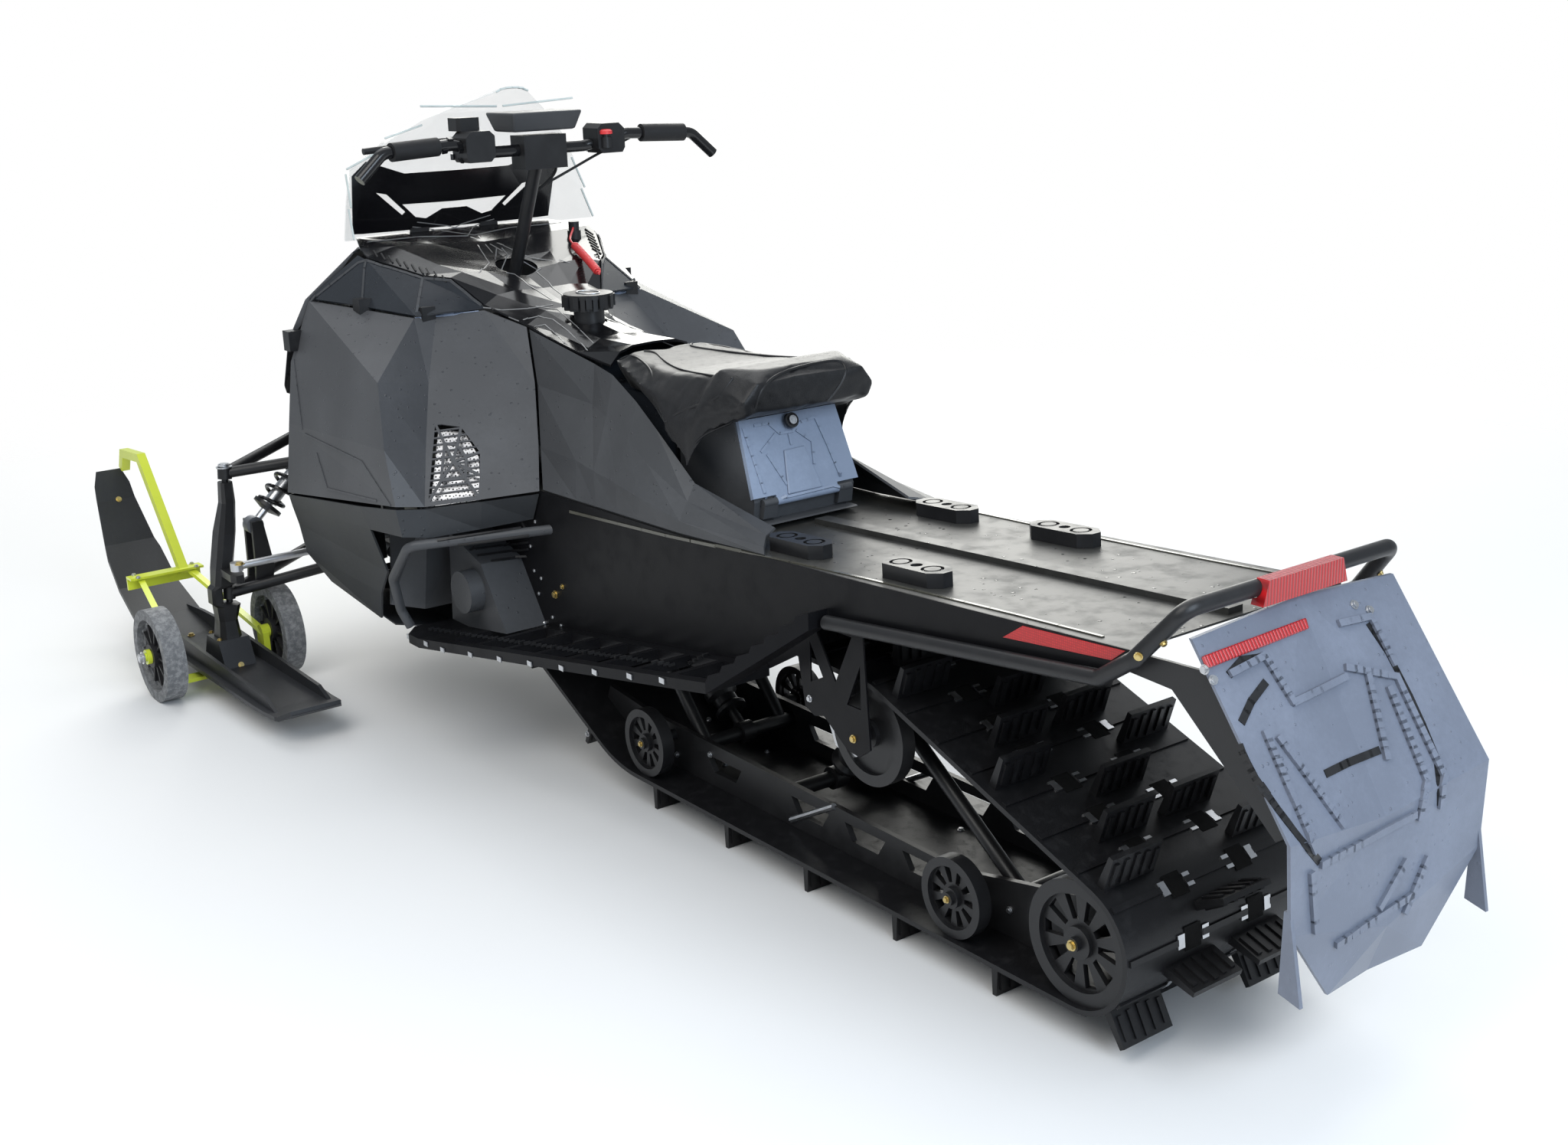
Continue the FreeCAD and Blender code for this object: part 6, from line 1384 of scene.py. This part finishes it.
# %% Fuel cap
CAP_STATION, CAP_TOP, CAP_RADIUS, CAP_GRIPS = 1454.0, 866.0, 47.0, 12
GRIP_DROP, GRIP_SINK, GRIP_SIZE = 14, 0.6, (22, 11, 4)
RING_LIFT, RING_RADIUS, RING_WIRE, RING_SQUEEZE = 0.6, 27, 1.6, 0.72
scallops = []
for k in range(CAP_GRIPS):
    angle = 2 * math.pi * k / CAP_GRIPS
    out = Vector((math.cos(angle), math.sin(angle), 0))
    rim = place(CAP_STATION, 0, CAP_TOP - GRIP_DROP) + out * (CAP_RADIUS - GRIP_SINK) * MM
    scallops.append(facing(rim, out, UP, GRIP_SIZE))
stamp(bar, "cap_scallops", scallops, "chassis", frame_paint)
ring = begin("cap_ring", bpy.ops.mesh.primitive_torus_add, location=place(CAP_STATION, 0, CAP_TOP + RING_LIFT),
             major_radius=RING_RADIUS * MM, minor_radius=RING_WIRE * MM, major_segments=40, minor_segments=8)
bpy.ops.object.mode_set(mode="EDIT")
bpy.ops.mesh.select_all(action="SELECT")
bpy.ops.transform.resize(value=(1.0, RING_SQUEEZE, 1.0))
bpy.ops.object.mode_set(mode="OBJECT")
settle(ring, "chassis", zinc, smooth=60)
print("cap grips:", len(scallops))

# %% [markdown]
# Where a bolt's place is known from the construction, a ray from outside finds the face it sits on.
# That is surer than the picture for the parts on the far side of the machine.

# %% Dolly and knuckle bolts
AXLE_ENDS, AXLE_BOLT = ((800, -1), (250, 1)), (19, 19, 19)
FOOT_LEFTS, FOOT_STATIONS, FOOT_BOLT, ABOVE_FOOT = (446, 580), (2520, 2550), (8, 8, 8), 260
BALL_STATION, BALL_LEFT, ABOVE_BALL, BALL_NUT = 2223, 460, 560, (24, 24, 16)
TIE_EYE_SEEN, TIE_NUT = (313, 737), (15, 15, 10)
for side, s in SIDES:
    dolly_face = surface_of("dolly_frame_" + side)
    frames = []
    for start, way in AXLE_ENDS:
        hit = dolly_face.ray_cast(place(WHEEL_STATION, s * start, WHEEL_HEIGHT), LEFT * s * way)[0]
        if hit:
            frames.append(facing(hit, -LEFT * s * way, size=AXLE_BOLT))
    for left in FOOT_LEFTS:
        for station in FOOT_STATIONS:
            hit = dolly_face.ray_cast(place(station, s * left, ABOVE_FOOT), -UP)[0]
            if hit:
                frames.append(facing(hit, UP, size=FOOT_BOLT))
    stamp(bolt, "dolly_bolts_" + side, frames, "knuckle_" + side, zinc, smooth=30)
arm_face = surface_of("suspension_arms", "spindle_left", "spindle_right")
nut_frames = [facing(arm_face.ray_cast(place(BALL_STATION, s * BALL_LEFT, ABOVE_BALL), -UP)[0], UP, size=BALL_NUT)
              for _, s in SIDES]
stamp(bolt, "ball_nuts", nut_frames, "chassis", zinc, smooth=30)
eye, _ = seen_on(surface_of("tie_rods"), *TIE_EYE_SEEN)
eye_frames = [facing(Vector((eye.x, s * eye.y, eye.z)), UP, size=TIE_NUT) for _, s in SIDES]
stamp(bolt, "tie_nuts", eye_frames, "tie_link", gold_zinc, smooth=30)
print("bolts on each dolly:", len(frames))

# %% [markdown]
# ## The ski shocks
# The front springs stand open between the panel and the spindle, with a bright rod through them.
# The rigid model draws each spring as closed rings, so these two shocks replace it in the picture:
# a turned damper, made by pulling a circle up its axis and resizing it step by step, and a helix of wire.

# %% Turned parts
def turned(name, profile, sides=20):
    """A solid of revolution on the Z axis from rows of height and radius, in millimetres."""
    height, radius = profile[0]
    piece = begin(name, bpy.ops.mesh.primitive_circle_add, vertices=sides, radius=radius, fill_type="NGON",
                  location=(0, 0, height))
    bpy.ops.object.mode_set(mode="EDIT")
    bpy.ops.mesh.select_all(action="SELECT")
    for following, wider in profile[1:]:
        raise_picked(following - height)
        bpy.ops.transform.resize(value=(wider / radius, wider / radius, 1.0))
        height, radius = following, wider
    bpy.ops.mesh.select_all(action="SELECT")
    bpy.ops.mesh.normals_make_consistent(inside=False)
    return piece


print("turned parts ready")

# %% [markdown]
# A spring's helix is worked out point by point, like the tether's curls, but round a straight axis.
# Its ends rest between a ring at the foot and a cup under the damper's top.

# %% Dampers, rings and springs
SHOCK_TOP, SHOCK_FOOT = (2217, 172, 575), (2221, 412, 342)
SPRING_RADIUS, SPRING_WIRE, SPRING_TURNS, TURN_STEPS = 28.0, 4.2, 7, 14
SPRING_FOOT, SPRING_HEAD = 56, 58
for side, s in SIDES:
    top, foot = (place(station, s * left, height) for station, left, height in (SHOCK_TOP, SHOCK_FOOT))
    length = (top - foot).length / MM
    axis = (top - foot).normalized()
    on_axis = [facing(foot, axis)]
    rod = turned("shock_rod", ((14, 8), (60, 8), (60, 15), (length * 0.42, 15), (length * 0.42, 9), (length - 60, 9)))
    stamp_and_clear(rod, "shock_rod_" + side, on_axis, "chassis", zinc)
    body = turned("shock_body", ((length * 0.55, 17), (length - 52, 17), (length - 52, 33), (length - 44, 33),
                                 (length - 44, 19), (length - 8, 19)))
    stamp_and_clear(body, "shock_body_" + side, on_axis, "chassis", bar_paint)
    foot_ring = turned("shock_foot_ring", ((40, 12), (46, 33), (54, 33), (54, 12)))
    stamp_and_clear(foot_ring, "shock_ring_" + side, on_axis, "chassis", frame_paint)
    eye = turned("shock_eye", ((-13, 15), (-13, 19), (13, 19), (13, 15)))
    stamp_and_clear(eye, "shock_eyes_" + side, [facing(end, AHEAD, LEFT) for end in (top, foot)],
                    "chassis", dull_alloy)
    across = axis.cross(AHEAD).normalized()
    wire = []
    for step in range(SPRING_TURNS * TURN_STEPS + 1):
        angle = 2 * math.pi * step / TURN_STEPS
        rise = SPRING_FOOT + (length - SPRING_FOOT - SPRING_HEAD) * step / (SPRING_TURNS * TURN_STEPS)
        reach = across * math.cos(angle) + axis.cross(across) * math.sin(angle)
        wire.append(foot + axis * rise * MM + reach * SPRING_RADIUS * MM)
    spring = bent_tube("shock_spring_" + side, wire, SPRING_WIRE, "chassis", bar_paint)
    if side == "left":
        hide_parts("ski_shocks")
print("each spring has", SPRING_TURNS, "turns")

# %% [markdown]
# ## Edges that catch the light
# Clear sheet and black metal are read by their rims. The windscreen's cut edge is polished, and its pale colour is a
# painted highlight;
# the deck's long edge is folded to a bead with a painted highlight in its colour, and a bright strut crosses the skid.

# %% Windscreen rim
SHIELD_RIM = ((1688, 0, 1240), (1689, 14, 1239), (1690, 25, 1237), (1691, 34, 1232), (1800, 141, 1184),
              (1850, 199, 1142), (1908, 258, 1086), (1892, 267, 1020), (1876, 274, 960))
RIM_NORMAL, RIM_WIDTH, RIM_HEIGHT = Vector((-1, 0, 0.5)), 3.4, 2.0
# The rim's pale colour is a painted highlight along the screen's cut edge.
rim_painted_highlight = Finish("polished_sheet_edge", Roughness=0.12, Coat_Weight=0.5)
rim_painted_highlight.feed(Base_Color=rim_painted_highlight.between(rim_painted_highlight.noise(30.0), (0.50, 0.56, 0.55), (0.66, 0.72, 0.70)))
for side, s in SIDES:
    rim_spots = [(place(x, s * y, z), RIM_NORMAL) for x, y, z in SHIELD_RIM]
    stamp(bar, "windscreen_rim_" + side, line_frames(rim_spots, RIM_WIDTH, RIM_HEIGHT), "chassis",
          rim_painted_highlight.material)
print("rim points:", len(SHIELD_RIM))

# %% [markdown]
# The deck's bead is a long raised line, paler than the deck: its pale colour is a painted highlight along the edge,
# and it mirrors the light as well. The strut is a plain plated rod between two points of the skid that show in the
# picture.

# %% Deck bead and skid strut
DECK_BEAD = (((745, 668), (870, 699), (1000, 727), (1130, 756), (1260, 787), (1326, 803), (1440, 832)),)
STRUT_SEEN, STRUT_RADIUS, STRUT_CLEARANCE = ((1092, 1052), (1168, 1024)), 5.5, 0.004
# The bead's pale olive colour is a painted highlight on the deck's edge.
bead = grained_plastic("deck_bead", (0.060, 0.058, 0.046), 0.24, relief=0.02, coat=0.4)
stamp(bar, "deck_bead", picture_lines(tunnel_face, DECK_BEAD, 5.0, 1.8, both_sides=True, step=30.0),
      "chassis", bead)
strut_ends = spots_on(skid_side, STRUT_SEEN)
reach = max(end.y for end in strut_ends) + STRUT_CLEARANCE
for side, s in SIDES:
    first, last = (Vector((end.x, s * reach, end.z)) for end in strut_ends)
    bent_tube("skid_strut_" + side, [first, first.lerp(last, 0.5), last], STRUT_RADIUS, "chassis", zinc)
print("the strut is", round((strut_ends[1] - strut_ends[0]).length / MM), "mm long")

# %% [markdown]
# ## Hubs, skis and the footwell
# The dolly wheels' webs are stiffened by radial ribs. Each ski is bolted at its tip and saddle,
# and louvres above the footwell let the engine's heat out.

# %% Hub ribs and ski bolts
WHEEL_PARTS, HUB_RIBS, WEB_OUT, RIB_OUT, RIB_SIZE = (("outer", 644), ("inner", 382)), 10, 45, 46, (50, 5, 7)
OUTSIDE_WHEEL, RIB_SINK = 60, 0.5
SKI_BOLTS = ((155, 652, 10), (250, 830, 11), (276, 826, 8), (315, 868, 9), (287, 836, 8))
ski_face = surface_of("ski_left", "spindle_left")
axle = place(WHEEL_STATION, 0, WHEEL_HEIGHT)
for side, s in SIDES:
    for part, left in WHEEL_PARTS:
        wheel_surface = surface_of("dolly_wheel_%s_%s" % (part, side))
        frames = []
        for face in (-1, 1):
            outside = place(WHEEL_STATION + WEB_OUT, s * left + face * OUTSIDE_WHEEL, WHEEL_HEIGHT)
            web = wheel_surface.ray_cast(outside, LEFT * -face)[0].y - face * RIB_SINK * MM
            for k in range(HUB_RIBS):
                angle = 2 * math.pi * k / HUB_RIBS
                out = Vector((math.cos(angle), 0, math.sin(angle)))
                centre = axle + out * RIB_OUT * MM
                frames.append(facing(Vector((centre.x, web, centre.z)), LEFT * face, out, RIB_SIZE))
        stamp(bar, "hub_ribs_%s_%s" % (part, side), frames, "roller_%s_%s" % (part, side), wheel_rubber)
    ski_frames = [on_both_halves(ski_face, *spot)[0 if s > 0 else 1] for spot in SKI_BOLTS]
    stamp(bolt, "ski_bolts_" + side, ski_frames, "knuckle_" + side, gold_zinc, smooth=30)
print("hub ribs on a wheel:", len(frames), "bolts on a ski:", len(ski_frames))

# %% [markdown]
# The louvres over the footwell are slits with a raised lip. From here only their lips show,
# so they are raised lines across the panel behind the hoop, drawn in black as a painted shade of the slits.

# %% Footwell louvres
LOUVRES = (((572, 706), (692, 688)), ((600, 711), (690, 699)), ((610, 719), (690, 708)), ((624, 726), (690, 717)),
           ((642, 733), (690, 726)))
well_face = surface_of("footwells", "belly_panel_left", "bulkhead", "panel_mounts", "tunnel_sides")
stamp(bar, "footwell_louvre_shade", picture_lines(well_face, LOUVRES, 4.0, 3.0, both_sides=True), "chassis",
      frame_paint)
print("louvres:", len(LOUVRES))

# %% [markdown]
# ## The end
# The masters were only patterns for their copies, so they go at the end.

# %% Put the masters away
for master in (bolt, rivet, bar):
    bpy.data.objects.remove(master)

# %% [markdown]

# %% Done
print("the machine is dressed")
